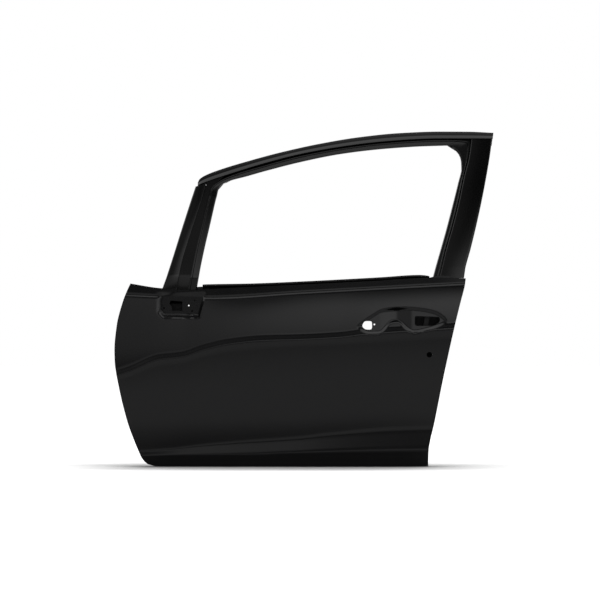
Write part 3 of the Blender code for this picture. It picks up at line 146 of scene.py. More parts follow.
FILLER_FRONT_SHARES = [
    (0.1798, -0.0021), (0.1897, 0.1267), (0.2067, 0.2634), (0.2257, 0.4), (0.2495, 0.5692),
    (0.2574, 0.6278), (0.2600, 0.6603),
]
REAR_SASH_SHARES = [
    (0.9930, 0.0300), (0.9952, 0.0746), (1.0133, 0.2308), (1.0303, 0.387), (1.0456, 0.5432),
    (1.0593, 0.6994), (1.0712, 0.8555), (1.0766, 0.9466),
]

# The window's edge and the glass channel's outer lip, station by station round the opening
WINDOW_SHARES = [
    (0.2333, -0.04), (0.2393, 0.04), (0.2438, 0.1), (0.2555, 0.2308), (0.2711, 0.387), (0.2864, 0.5432),
    (0.2898, 0.5725), (0.2932, 0.6069), (0.2986, 0.6343), (0.3096, 0.6564), (0.3312, 0.6766),
    (0.3711, 0.7007), (0.4278, 0.7377), (0.5271, 0.7963), (0.6405, 0.849), (0.7539, 0.8816),
    (0.8673, 0.9004), (0.924, 0.905), (0.949, 0.9063), (0.9716, 0.8744), (0.9844, 0.8334),
    (0.9878, 0.7937), (0.9881, 0.7514), (0.9787, 0.6603), (0.9612, 0.5041), (0.943, 0.348),
    (0.9234, 0.1918), (0.9118, 0.1), (0.9047, 0.04), (0.9002, 0.0),
]
LIP_SHARES = [
    (0.2083, -0.04), (0.2152, 0.04), (0.22, 0.1), (0.2308, 0.2308), (0.2461, 0.387), (0.2617, 0.5432),
    (0.2662, 0.579), (0.2696, 0.6135), (0.2762, 0.6356), (0.2878, 0.6564), (0.3031, 0.6798),
    (0.3371, 0.7137), (0.4193, 0.7709), (0.5271, 0.8373), (0.6405, 0.8861), (0.7539, 0.9206),
    (0.8673, 0.9401), (0.924, 0.9447), (0.9836, 0.9434), (1.0147, 0.9401), (1.0142, 0.9206),
    (1.0105, 0.8685), (1.0062, 0.8165), (0.9943, 0.7124), (0.9773, 0.5302), (0.958, 0.361),
    (0.9382, 0.2048), (0.9277, 0.1), (0.9206, 0.04), (0.9163, 0.0),
]
FRONT_CORNER_SHARES = (6, 11)
REAR_CORNER_SHARES = (18, 23)
LAST_STATION_SHARE = len(WINDOW_SHARES) - 1

# Handle pocket and mirror seat in the outer panel, in shares of the panel
POCKET_TOP_SHARES = [
    (0.688, 0.764), (0.703, 0.79), (0.729, 0.825), (0.762, 0.86), (0.80, 0.868), (0.838, 0.870),
    (0.872, 0.864), (0.909, 0.849), (0.935, 0.818), (0.945, 0.79),
]
POCKET_LOW_SHARES = [
    (0.688, 0.764), (0.704, 0.74), (0.725, 0.724), (0.752, 0.726), (0.772, 0.76), (0.785, 0.782),
    (0.802, 0.788), (0.818, 0.77), (0.833, 0.745), (0.850, 0.731), (0.894, 0.748), (0.939, 0.783),
    (0.945, 0.79),
]
POCKET_WALL = 0.008
HANDLE_SEAT_TUCK = 0.0150
HANDLE_SEAT_TILT = 0.15
HANDLE_SEAT_SHARE = 0.80
HANDLE_BOWL_SINK = 0.010
BOWL_MIDDLE_SHARE = 0.800
BOWL_REACH_SHARE = 0.046
MIRROR_SEAT_SHARES = ((0.134, 0.825), (0.2375, 0.937))
MIRROR_WALL_FRONT = 0.014
MIRROR_WALL = 0.007

# Holes: middle in shares of the panel, then length and height
HANDLE_FRONT_HOLE = ((0.7168, 0.7715), 0.034, 0.028)
HANDLE_FRONT_CORNERS = [(-1, -0.2), (-0.35, -1), (1, -1), (1, 1), (-0.5, 1)]
HANDLE_PIN_HOLE = ((0.7380, 0.7765), 0.006, 0.006)
HANDLE_REAR_HOLE = ((0.8883, 0.7958), 0.083, 0.033)
HANDLE_REAR_CORNERS = [(-1, -1), (0.5, -1), (1, -0.25), (1, 0.8), (-1, 1)]
LOCK_HOLE = ((0.8938, 0.6112), 0.018, 0.018)
MIRROR_PLUG_HOLE = ((0.1742, 0.8790), 0.043, 0.034)
MIRROR_PLUG_CORNERS = [(-0.6, -1), (1, -1), (1, 0.8), (-0.8, 1), (-1, 0.4), (-0.65, -0.2)]
MIRROR_BOLT_HOLES = [((0.1402, 0.8660), 0.007, 0.007), ((0.2275, 0.9080), 0.007, 0.007),
                     ((0.2205, 0.8500), 0.009, 0.007)]
MIRROR_SIGHT_HOLE = ((0.2110, 0.8796), 0.005, 0.005)
SPEAKER_HOLE = ((0.205, 0.352), 0.164, 0.164)
SPEAKER_SCREW_CIRCLE = 0.186
SPEAKER_SCREWS = 3
TRIM_CLIP_HOLE = 0.009
TRIM_CLIP_SHARES = [
    (0.075, 0.72), (0.085, 0.20), (0.29, 0.105), (0.53, 0.105), (0.80, 0.105), (0.865, 0.33),
    (0.915, 0.58), (0.345, 0.56), (0.345, 0.40),
]
FRONT_SERVICE_SHARES = [(0.385, 0.485), (0.385, 0.77), (0.53, 0.81), (0.53, 0.485)]
REAR_SERVICE_SHARES = [(0.60, 0.43), (0.60, 0.82), (0.80, 0.85), (0.815, 0.43)]
LOW_FRONT_SERVICE_SHARES = [(0.375, 0.20), (0.375, 0.38), (0.53, 0.38), (0.53, 0.20)]
LOW_REAR_SERVICE_SHARES = [(0.60, 0.20), (0.60, 0.33), (0.80, 0.33), (0.775, 0.20)]
MIRROR_ACCESS_HOLE = ((0.2110, 0.8796), 0.024, 0.018)
SERVICE_CORNER = 0.022
HANDLE_ACCESS_HOLE = ((0.922, 0.742), 0.026, 0.020)
LATCH_MOUTH = (0.028, 0.075)
LATCH_SHARE = 0.56
HARNESS_HOLE = 0.034
HARNESS_DEPTH = 0.016
SCREW_HOLE = 0.006
HOLE_CORNER = 0.005
DRAIN_DEPTH = 0.010
CHECK_SLOT = (0.026, 0.040)
HINGE_BOLT_HOLE = 0.011
HINGE_BOLT_SPACING = 0.048
LATCH_SCREW_SIDES = 8
HOLE_SIDES = 12
SCREW_SIDES = 16
CLIP_SIDES = 20
BOLT_SIDES = 24
WIDE_SIDES = 32
SPEAKER_SIDES = 64
DRAIN_SLOT = (0.022, 0.006)
DRAIN_SHARES = (0.20, 0.52, 0.82)

# Inner panel: its columns count 0 to 1 over the trim face, its rows the skin's lines beside it
INNER_COLUMN_SHARES = [
    0, 0.035, 0.048, 0.070, 0.13, 0.20, 0.28, 0.36, 0.44, 0.52, 0.60, 0.68, 0.76, 0.83, 0.892, 0.905, 1,
]
INNER_ROW_SHARES = {
    1: 0.066, 2: 0.098, 3: 0.112, 3.25: 0.22, 3.5: 0.33, 3.75: 0.44, 4: 0.55, 5: 0.61, 6: 0.67,
    6.33: 0.76, 6.67: 0.775,
}
WALL_LINE_SHARE = 0.14
HINGE_SEAT_RISE = 0.0005
WALL_LINES = (-1.5, 2.5)
EMBOSS_SHARES = ((0.045, 3), (0.90, 6.4))
PANEL_CORNER = 0.010
FLANGE_HEIGHT = 0.016
WALL_DRAFT = 0.004
HEM_CLEARANCE = 0.0015
REAR_FLANGE = 0.020
TOP_FLANGE = 0.013
SHELF_DROP = 0.030
FACE_DROP = 0.052
TOP_CLOSE_SHARES = (0.095, 0.122)
EMBOSS = 0.007
LATCH_WALL_SHARES = (0.146, 1.0)

# Latch screws and belt reinforcements
LATCH_PLATE_WIDTH = 0.056
LATCH_SCREW_SPACING = 0.100
GLASS_SLOT = 0.018
BELT_FLANGE = 0.007
BELT_SHELF = 0.010
BELT_SLOPE = 0.002
BELT_FOOT = 0.008
OUTER_BELT_FOOT = 0.022
OUTER_BELT_RISE = 0.007
OUTER_BELT_RISE_SHARES = (0.880, 0.930)
OUTER_BELT_REACH_SHARES = (0.245, 0.96)
INNER_BELT_REACH_SHARES = (0.250, 0.895)

# Window frame
FRAME_RECESS = 0.006
FRAME_ROLL = 0.003
HEADER_LIP_SINK = 0.008
HEADER_TAIL = 0.002
HEADER_COLUMN_SHARES = [0, 0.01, 0.03, 0.07, 0.12, 0.18, 0.26, 0.35, 0.45, 0.55, 0.66, 0.77, 0.88, 0.95, 1]
HEADER_STEP_SHARES = (0.10, 0.48)
CHANNEL_LIP_SHARE = 0.20
CHANNEL_DROP_SHARE = 0.26
CHANNEL_EDGE_SHARE = 0.88
CHANNEL_SINK = 0.012
CHANNEL_CURL = 0.018
REAR_FRAME_TUCK = 0.060
STATION_STEP_SHARE = 0.01
FOOT_ROW, SEAM_ROW = -1, 2
FRONT_CORNER_ROW_SHARE = 0.615
FILLER_ROW_SHARES = [0.579, 0.6135, 0.6356, 0.65]
FILLER_END_SHARE = 0.31
FRONT_ROW_SHARES = [0.04, 0.1, 0.2308, 0.387, 0.5432]
REAR_ROW_SHARES = [0.1, 0.2, 0.35, 0.5, 0.66, 0.79, 0.87]
REAR_FACE_RISE = 0.0004
TONGUE_CLEARANCE = 0.004
TONGUE_SHARE = 0.038
FRAME_FOLD = FRAME_DEPTH - FRAME_SHEET - FOLD_GAP
FRONT_SASH_RIBS = [(0, FRAME_FOLD), (0, FRAME_ROLL), (0.12, 0), (1, 0), (1, FRAME_RECESS)]
REAR_SASH_RIBS = [(0, FRAME_RECESS), (0.04, 0), (0.93, 0), (1, FRAME_ROLL), (1, FRAME_FOLD)]
CHANNEL_SECTION = [
    (0, FRAME_ROLL), (CHANNEL_LIP_SHARE, FRAME_ROLL), (CHANNEL_DROP_SHARE, CHANNEL_SINK),
    (CHANNEL_EDGE_SHARE, CHANNEL_SINK), (1, CHANNEL_CURL), (1, FRAME_FOLD),
]
HEADER_INNER_FOOT_SHARES = [
    (0.2302, 0.6369), (0.27, 0.652), (0.3096, 0.6564), (0.3312, 0.6766), (0.3711, 0.7007),
    (0.4278, 0.7377), (0.5271, 0.7963), (0.6405, 0.849), (0.7539, 0.8816), (0.8673, 0.9004),
    (0.924, 0.905), (0.949, 0.9063), (1.0766, 0.9063),
]

PANEL_FRONT_X = -HINGE_SETBACK
PANEL_BOTTOM_Z = -HINGE_HEIGHT
BELT_Z = PANEL_BOTTOM_Z + PANEL_HEIGHT
HEM_DEPTH = 2 * SKIN_SHEET + PANEL_SHEET + 2 * HEM_GAP
FLANGE_DEPTH = SKIN_SHEET + HEM_GAP + PANEL_SHEET
FRAME_STACK = SKIN_SHEET + FRAME_SHEET + 3 * SEAM_GAP

# How finely the sheets are built: steps between rows and columns, and bend radii
SHARP_ANGLE = math.radians(32)
BEND_ANGLE = math.radians(20)
PAN_BEND_ANGLE = math.radians(14)
SETTLE_ROUNDS = 8
CREASE_ROUND = 0.003
HEADER_STEP = 0.008
ROW_STEP = 0.02
FILLER_STEP = 0.01
CHANNEL_STEP = 0.1
OUTER_BELT_STEP = 0.012
INNER_BELT_STEP = 0.014
FRAME_BEND = 0.0025
CHANNEL_BEND = 0.0018
BELT_BEND = 0.002
HEM_REACH_SHARES = (0.125, 0.98)
SKIN_ROW_STEPS = (4, 3, 7, 34, 5, 8, 50, 4, 7)
# Columns of the skin: start, end and step, closest over the mirror seat and the handle pocket
SKIN_SPANS = [
    (0, 0.10, 0.008), (0.10, 0.27, 0.0042), (0.27, 0.675, 0.010), (0.675, 0.985, 0.0028), (0.985, 1, 0.0075),
]
MATERIALS = {}

# Pressed rims and beads of the trim face: places in shares of the panel, half width and height
RIM_RISE = 0.004
RIM_MIDDLE = 0.011
RIM_HALF = 0.010
SPEAKER_RISE = 0.006
SPEAKER_RIM = 0.104
BEAD_FALL = 0.008
PAN_STEP = 0.0075
CROWN = 0.0003
MERGE = 0.0003
PAN_BEND = 0.005
BEADS = [
    ((0.12, 0.60), (0.30, 0.66), 0.016, 0.005), ((0.12, 0.71), (0.30, 0.75), 0.016, 0.005),
    ((0.40, 0.432), (0.51, 0.432), 0.012, -0.004), ((0.62, 0.382), (0.80, 0.382), 0.012, -0.004),
    ((0.40, 0.150), (0.51, 0.150), 0.012, 0.004), ((0.60, 0.150), (0.78, 0.150), 0.012, 0.004),
    ((0.565, 0.24), (0.565, 0.40), 0.009, 0.004), ((0.565, 0.52), (0.565, 0.76), 0.009, 0.004),
    ((0.855, 0.48), (0.875, 0.70), 0.010, 0.004), ((0.35, 0.50), (0.35, 0.74), 0.009, 0.004),
]

# Primer and mastic; the IOR is low so that the white surroundings don't grey the black coat
PRIMER_IOR = 1.24
CLOUD_WIDTH = 0.111
PEEL_WIDTH = 0.00238
PEEL_DEPTH = 0.0004
PIT_WIDTH = 0.00385
PIT_DEPTH = 0.001

# Studio
FLOOR_HALF = 30.0
FLOOR_DROP = 0.0015
FLOOR_BASE = 0.6
# Reach and fall of the painted contact shadow in the floor's glow
SHADOW_REACH = 0.6
SHADOW_FALL = 6.0
SCREEN_AWAY = 26.0
SCREEN_TURN = (-5.0, 4.0)
SCREEN_LEVEL = 3.4
CEILING_HEIGHT = 6.0
CEILING_BACK = 2.45 * CEILING_HEIGHT
CEILING_LEVEL = 3.2
# Light of the screen at its left and right end: angle above the panel in degrees and level
LEFT_LEVELS = [
    (-40, 0.15), (-16, 0.15), (-11, 0.24), (1, 0.25), (2.5, 0.01), (5, 0.01), (7, 0.36), (20, 0.40),
    (27, 0.25), (29, 0.04), (32, 0.26), (35, 0.24), (38, 0.10), (47, 0.15), (54, 0.8), (62, 1.1),
]
RIGHT_LEVELS = [
    (-40, 0.15), (-16, 0.15), (-11, 0.27), (1, 0.25), (2.5, 0.01), (5, 0.01), (7, 0.42), (14, 0.80),
    (24, 1.10), (28, 0.70), (31, 0.10), (34, 0.01), (42, 0.01), (46, 0.15), (54, 0.8), (62, 1.1),
]
WORLD_LEVEL = 0.3
CAMERA_DISTANCE = 20.0
# The photograph: its width and the panel's front and bottom edges in pixels, and the size of a pixel
PICTURE = 600
FRONT_PIXEL = 114.1
BOTTOM_PIXEL = 466.8
PIXEL = 0.0033
LAMPS = [
    ("top_softbox", (0.5, -2.2, 3.4), (0.5, 0, 0), (4.0, 2.0), 46),
    ("left_softbox", (-3.4, -2.6, 0.8), (0.5, 0, 0), (1.6, 3.0), 15),
    ("right_softbox", (4.4, -2.2, 1.0), (0.5, 0, 0), (1.6, 3.0), 18),
    ("back_fill", (0.5, 3.6, 2.4), (0.5, 0, 0), (3.0, 2.0), 28),
]


def mix(start, end, share):
    return start + (end - start) * share


def ease(share):
    """A soft rise from 0 to 1, level at both ends."""
    share = min(max(share, 0), 1)
    return share * share * (3 - 2 * share)


def smooth_line(points):
    """A curve without overshoot through (position, value) points, straight on past its ends."""
    at, value = (list(map(float, side)) for side in zip(*sorted(points)))
    slope = [(v1 - v0) / (a1 - a0) for a0, a1, v0, v1 in zip(at, at[1:], value, value[1:])]
    inner = [2 * a * b / (a + b) if a * b > 0 else 0 for a, b in zip(slope, slope[1:])]
    tangent = [slope[0], *inner, slope[-1]]

    def read(position):
        if position <= at[0]:
            return value[0] + (position - at[0]) * tangent[0]
        if position >= at[-1]:
            return value[-1] + (position - at[-1]) * tangent[-1]
        i = bisect.bisect_left(at, position) - 1
        width = at[i + 1] - at[i]
        t = (position - at[i]) / width
        rise = value[i + 1] - value[i]
        start, end = tangent[i] * width, tangent[i + 1] * width
        return value[i] + t * (start + t * (3 * rise - 2 * start - end + t * (start + end - 2 * rise)))

    return read


def along(share):
    """X of a share of the panel's length."""
    return PANEL_FRONT_X + share * PANEL_LENGTH


def up(share):
    """Z of a share of the panel's height."""
    return PANEL_BOTTOM_Z + share * PANEL_HEIGHT


def over(share):
    """Z of a share of the window frame's height."""
    return BELT_Z + share * FRAME_HEIGHT


def side(place):
    """X and Z of a place in shares of the panel."""
    return along(place[0]), up(place[1])


def level_line(shares, height=up):
    """Height of a line of the side view at a given X."""
    return smooth_line([(along(a), height(b)) for a, b in shares])


def upright_line(shares, height=up):
    """X of a line of the side view at a given height."""
    return smooth_line([(height(b), along(a)) for a, b in shares])


front_edge = upright_line(FRONT_EDGE_SHARES)
rear_edge = upright_line(REAR_EDGE_SHARES)
top_line = level_line(TOP_SHARES)
band_line = level_line(BAND_SHARES)
upper_crease = level_line(UPPER_CREASE_SHARES)
lower_crease = level_line(LOWER_CREASE_SHARES)
flare_line = level_line(FLARE_SHARES)
sill_step = level_line(SILL_STEP_SHARES)
inner_belt = level_line(INNER_BELT_SHARES)
panel_top = level_line(PANEL_TOP_SHARES)
pocket_top = level_line(POCKET_TOP_SHARES)
pocket_low = level_line(POCKET_LOW_SHARES)
roof_line = level_line(ROOF_SHARES, over)
header_foot = level_line(HEADER_FOOT_SHARES, over)
front_sash = upright_line(FRONT_SASH_SHARES, over)
filler_front = upright_line(FILLER_FRONT_SHARES, over)
rear_sash = upright_line(REAR_SASH_SHARES, over)

# Lines of the outer panel's section from the bottom up: height at X, tuck, and bulge below the line
PANEL_LINES = [
    (lambda x: PANEL_BOTTOM_Z, BOTTOM_TUCK, 0),
    (lambda x: sill_step(x) - SILL_STEP_HEIGHT, SILL_STEP_TUCK + SILL_STEP, 0),
    (sill_step, SILL_STEP_TUCK, 0),
    (flare_line, FLARE_TUCK, 0),
    (lower_crease, LOWER_CREASE_TUCK, FLANK_BULGE),
    (upper_crease, 0, 0),
    (lambda x: upper_crease(x) + HOLLOW_RISE, HOLLOW_TUCK, 0),
    (band_line, SHOULDER_TUCK, SHOULDER_BULGE),
    (lambda x: band_line(x) + BAND_ROLL, mix(SHOULDER_TUCK, BELT_TUCK, 0.8), 0),
    (top_line, BELT_TUCK, 0),
]
LAST_LINE = len(PANEL_LINES) - 1


def plan_curve(x):
    """How far the nose and the tail of the panel curve in from its middle."""
    share = (x - PANEL_FRONT_X) / PANEL_LENGTH
    if share < NOSE_SHARE:
        return NOSE_CURVE * (1 - share / NOSE_SHARE) ** 2
    return TAIL_CURVE * ((share - NOSE_SHARE) / (1 - NOSE_SHARE)) ** 2


def section_tuck(x, z):
    """Tuck of the plain panel at a place of the side view."""
    low_z, low_tuck, _ = PANEL_LINES[0]
    low_z = low_z(x)
    for line, tuck, bulge in PANEL_LINES[1:]:
        high_z = line(x)
        if z <= high_z or line is top_line:
            share = (z - low_z) / (high_z - low_z)
            return mix(low_tuck, tuck, share) - bulge * 4 * share * (1 - min(share, 1))
        low_z, low_tuck = high_z, tuck


def handle_seat_y(z):
    """Y of the flat seats in the handle pocket, tilted like the shoulder round them."""
    return -FACE_DEPTH + HANDLE_SEAT_TUCK + (z - up(HANDLE_SEAT_SHARE)) * HANDLE_SEAT_TILT


def pocket_y(x, z, y):
    """Y in the handle pocket, where the plain panel would lie at y: two flat seats with a bowl between."""
    start, end = along(POCKET_TOP_SHARES[0][0]), along(POCKET_TOP_SHARES[-1][0])
    if not start < x < end:
        return y
    edge = min(z - pocket_low(x), pocket_top(x) - z, x - start, end - x)
    reach = (x - along(BOWL_MIDDLE_SHARE)) / (BOWL_REACH_SHARE * PANEL_LENGTH)
    floor = handle_seat_y(z) + HANDLE_BOWL_SINK * ease(1 - abs(reach))
    return mix(y, max(floor, y), ease(edge / POCKET_WALL))


def mirror_share(x, z):
    """How much of the flat mirror seat stands at a place: 1 on the seat, 0 outside its wall."""
    (front, low), (rear, high) = (side(corner) for corner in MIRROR_SEAT_SHARES)
    inside = min(
        (x - front) / MIRROR_WALL_FRONT + 1,
        (rear - x + (z - low) / 4) / MIRROR_WALL + 1,
        (z - low) / MIRROR_WALL + 1,
        (high - z) / MIRROR_WALL + 1,
        (x - front + z - low) / MIRROR_WALL,
    )
    return ease(inside)


def mirror_seat_y():
    """Y of the flat mirror seat."""
    return -FACE_DEPTH + BELT_TUCK + plan_curve(side(MIRROR_PLUG_HOLE[0])[0])


def skin_y(x, z):
    """Y of the outer panel's outer face."""
    y = pocket_y(x, z, -FACE_DEPTH + plan_curve(x) + section_tuck(x, z))
    return mix(y, mirror_seat_y(), mirror_share(x, z))


def belt_y(x):
    """Y of the outer panel's face at its top edge."""
    return -FACE_DEPTH + plan_curve(x) + BELT_TUCK


def frame_y(x, z):
    """Y of the face that the window frame follows: upright at its foot, then leaning in."""
    rise = max(z - BELT_Z - LEAN_START, 0)
    return belt_y(x) + FRAME_STACK + rise * math.tan(FRAME_LEAN) + FRAME_BOW * rise * rise / FRAME_HEIGHT


def panel_top_y(x):
    """Y of the inner panel's top flange, on which the frame's feet and the belt reinforcement are welded."""
    return belt_y(x) + FRAME_STACK + FRAME_DEPTH + SEAM_GAP + PANEL_SHEET


def settle(left, right, height):
    """A place function of a patch whose ends are upright lines and whose rows are level lines."""

    def place(u, v):
        z = height(along(u), v)
        for _ in range(SETTLE_ROUNDS):
            x = mix(left(z), right(z), u)
            z = height(x, v)
        return x, z

    return place


def panel_height(x, v):
    """Height at X of row v of the outer panel, counted in lines from the bottom."""
    row = min(int(v), LAST_LINE - 1)
    return mix(PANEL_LINES[row][0](x), PANEL_LINES[row + 1][0](x), v - row)


panel_place = settle(front_edge, rear_edge, panel_height)


def linear(hex_colour):
    """A hex sRGB colour as linear values with alpha."""
    values = [int(hex_colour[i:i + 2], 16) / 255 for i in (1, 3, 5)]
    return (*[v / 12.92 if v <= 0.04045 else ((v + 0.055) / 1.055) ** 2.4 for v in values], 1)


def feed(node, links):
    """Sets a node's inputs: name to value or to an output socket."""
    for name, value in dict(links).items():
        if isinstance(value, bpy.types.NodeSocket):
            node.id_data.links.new(value, node.inputs[name])
        else:
            node.inputs[name].default_value = value
    return node


def add_node(tree, kind, links=(), **settings):
    """A node with its settings and its inputs."""
    made = tree.nodes.new(kind)
    for name, value in settings.items():
        setattr(made, name, value)
    return feed(made, links)


def spaced(values, gap):
    """A list of places with steps no wider than gap in each interval."""
    steps = []
    for a, b in zip(values, values[1:]):
        count = max(1, math.ceil(abs(b - a) / gap - 1e-6))
        steps += [mix(a, b, i / count) for i in range(count)]
    return steps + [values[-1]]


def bake(thing):
    """Turns the modifiers into plain mesh, with its sharp edges marked."""
    graph = bpy.context.evaluated_depsgraph_get()
    mesh = bpy.data.meshes.new_from_object(thing.evaluated_get(graph))
    thing.modifiers.clear()
    old, thing.data = thing.data, mesh
    bpy.data.meshes.remove(old)
    mesh.name = thing.name
    mesh.shade_smooth()
    mesh.set_sharp_from_angle(angle=SHARP_ANGLE)


def new_thing(name, shape, material):
    """An object at the origin with the mesh and a material."""
    mesh = bpy.data.meshes.new(name)
    shape.to_mesh(mesh)
    shape.free()
    mesh.materials.append(material)
    thing = bpy.data.objects.new(name, mesh)
    bpy.context.scene.collection.objects.link(thing)
    return thing


def keep(thing, slot, *nodes):
    """Bakes a finished piece and ties it to the frame."""
    bake(thing)
    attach(thing, "root")
    if nodes:
        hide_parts(*nodes)
    return thing


def add_modifier(thing, kind, **settings):
    """A modifier with its settings."""
    made = thing.modifiers.new(kind.title(), kind)
    for name, value in settings.items():
        setattr(made, name, value)
    return made


def sheet(name, columns, rows, place, thickness, material, towards_face=False, dropped=None, bend=0.0):
    """A dense sheet over a grid of columns and rows, its bends rounded and its thickness given."""
    shape = bmesh.new()
    wide, high = len(columns) - 1, len(rows) - 1
    bmesh.ops.create_grid(shape, x_segments=wide, y_segments=high, size=0.5)
    spots = {v: (round((v.co.x + 0.5) * wide), round((v.co.y + 0.5) * high)) for v in shape.verts}
    if dropped:
        outside = []
        for face in shape.faces:
            u = sum(columns[spots[v][0]] for v in face.verts) / 4
            w = sum(rows[spots[v][1]] for v in face.verts) / 4
            if dropped(u, w):
                outside.append(face)
        bmesh.ops.delete(shape, geom=outside, context="FACES")
    for vert in shape.verts:
        i, j = spots[vert]
        vert.co = place(columns[i], rows[j])
    bmesh.ops.remove_doubles(shape, verts=shape.verts, dist=MERGE)
    thing = new_thing(name, shape, MATERIALS[material])
    if bend:
        add_modifier(thing, "BEVEL", width=bend, segments=3, limit_method="ANGLE", angle_limit=BEND_ANGLE)
    add_modifier(thing, "SOLIDIFY", thickness=thickness, offset=1 if towards_face else -1,
                 use_even_offset=True, use_quality_normals=True)
    return thing


def prism(shape, outline, axis, low, high):
    """Adds a closed prism along an axis over an outline of (x, z), (y, z) or (x, y) points."""
    at = {"Y": lambda a, b: (a, low, b), "X": lambda a, b: (low, a, b), "Z": lambda a, b: (a, b, low)}[axis]
    way = {"Y": (0, high - low, 0), "X": (high - low, 0, 0), "Z": (0, 0, high - low)}[axis]
    face = shape.faces.new([shape.verts.new(at(a, b)) for a, b in outline])
    made = bmesh.ops.extrude_face_region(shape, geom=[face])
    moved = [item for item in made["geom"] if isinstance(item, bmesh.types.BMVert)]
    bmesh.ops.translate(shape, verts=moved, vec=way)


def cut(thing, holes):
    """Cuts (outline, axis, low, high) prisms out of a piece."""
    shape = bmesh.new()
    for hole in holes:
        prism(shape, *hole)
    bmesh.ops.recalc_face_normals(shape, faces=shape.faces)
    cutter = new_thing(thing.name + "_cutter", shape, MATERIALS["structure"])
    add_modifier(thing, "BOOLEAN", operation="DIFFERENCE", solver="EXACT", object=cutter, use_self=True)
    bake(thing)
    bpy.data.objects.remove(cutter, do_unlink=True)


def round_outline(middle, width, height, sides=HOLE_SIDES):
    """A round or oval outline by its middle and its two widths."""
    turns = [2 * math.pi / sides * (i + 0.5) for i in range(sides)]
    return [(middle[0] + width / 2 * math.cos(t), middle[1] + height / 2 * math.sin(t)) for t in turns]


def soft_outline(corners, radius, steps=3):
    """A polygon with its corners rounded, each by an arc-like run of steps."""
    points = []
    for i, corner in enumerate(corners):
        before, after = corners[i - 1], corners[(i + 1) % len(corners)]
        ends = []
        for other in (before, after):
            gap = math.dist(corner, other)
            share = min(radius / gap, 0.45)
            ends.append((mix(corner[0], other[0], share), mix(corner[1], other[1], share)))
        for step in range(steps + 1):
            t = step / steps
            first = (mix(ends[0][0], corner[0], t), mix(ends[0][1], corner[1], t))
            last = (mix(corner[0], ends[1][0], t), mix(corner[1], ends[1][1], t))
            points.append((mix(first[0], last[0], t), mix(first[1], last[1], t)))
    return points


def box_outline(middle, width, height, radius=0, steps=2):
    """A rectangle, with rounded corners where a radius is given."""
    x, z = middle
    corners = [
        (x - width / 2, z - height / 2), (x + width / 2, z - height / 2),
        (x + width / 2, z + height / 2), (x - width / 2, z + height / 2),
    ]
    return soft_outline(corners, radius, steps) if radius else corners


def hole(data, sides):
    """A round outline by its place in the panel, its length and its height."""
    return round_outline(side(data[0]), data[1], data[2], sides)


def cornered(data, corners, radius=0):
    """An opening by its corners, in half lengths and half heights from its middle."""
    (x, z), length, height = side(data[0]), data[1] / 2, data[2] / 2
    points = [(x + a * length, z + b * height) for a, b in corners]
    return soft_outline(points, radius, 2) if radius else points


def skin_columns():
    """Column shares of the skin."""
    spans = [spaced([start, end], step)[:-1] for start, end, step in SKIN_SPANS]
    return sum(spans, []) + [1]


def rounded_skin_y(x, z):
    """Y of the outer face with its creases rounded."""
    return sum(skin_y(x, z + way * CREASE_ROUND) for way in (-1, -0.5, 0, 0.5, 1)) / 5


def build_outer_panel():
    """The skin, with its edges hemmed round the inner panel's flange in front, behind and below."""

    def place(u, v):
        inner_u, inner_v = min(max(u, 0), 1), max(v, 0)
        x, z = panel_place(inner_u, inner_v)
        y = rounded_skin_y(x, z)
        if u < 0 or u > 1:
            x += HEM_RETURN * max(-1 - u, 0) - HEM_RETURN * max(u - 2, 0)
            z = panel_height(x, inner_v)
            y = rounded_skin_y(x, z) + HEM_DEPTH
        if v < 0:
            z += HEM_RETURN * max(-1 - v, 0)
            y = rounded_skin_y(x, z) + HEM_DEPTH
        return x, y, z

    def dropped(u, v):
        on_side, below = not 0 < u < 1, v < 0
        return on_side and v < 2 or below and not HEM_REACH_SHARES[0] < u < HEM_REACH_SHARES[1]

    columns = [-2, -1] + skin_columns() + [2, 3]
    rows = [-2, -1]
    for row, count in enumerate(SKIN_ROW_STEPS):
        rows += [row + i / count for i in range(count)]
    rows.append(LAST_LINE)
    skin = sheet("skin_sheet", columns, rows, place, SKIN_SHEET, "skin", False, dropped)
    holes = [
        cornered(HANDLE_FRONT_HOLE, HANDLE_FRONT_CORNERS, HANDLE_FRONT_HOLE[2] / 4),
        cornered(HANDLE_REAR_HOLE, HANDLE_REAR_CORNERS, HANDLE_REAR_HOLE[2] / 5),
        cornered(MIRROR_PLUG_HOLE, MIRROR_PLUG_CORNERS),
    ]
    holes += [hole(data, BOLT_SIDES) for data in MIRROR_BOLT_HOLES + [MIRROR_SIGHT_HOLE, HANDLE_PIN_HOLE]]
    holes.append(hole(LOCK_HOLE, WIDE_SIDES))
    cut(skin, [(outline, "Y", -FACE_DEPTH - CUT_OVERRUN, 0) for outline in holes])
    keep(skin, "primed_skin", "outer_panel")


def front_wall(z):
    """X of the hinge wall at a height."""
    return max(0, front_edge(z) + HEM_RETURN + HEM_CLEARANCE)


def rear_wall(z):
    """X of the latch wall at a height: a straight line behind the curved rear edge."""
    low, high = (up(share) for share in LATCH_WALL_SHARES)
    slope = (rear_edge(high) - rear_edge(low)) / (high - low)
    return rear_edge(low) + (z - low) * slope - REAR_FLANGE


def top_flange_y(x, z):
    """Y of the inner panel along its top: in the skin's plane ahead of the window frame, deep under it."""
    start, end = (along(share) for share in TOP_CLOSE_SHARES)
    return mix(skin_y(x, z) + FLANGE_DEPTH, panel_top_y(x), ease((x - start) / (end - start)))


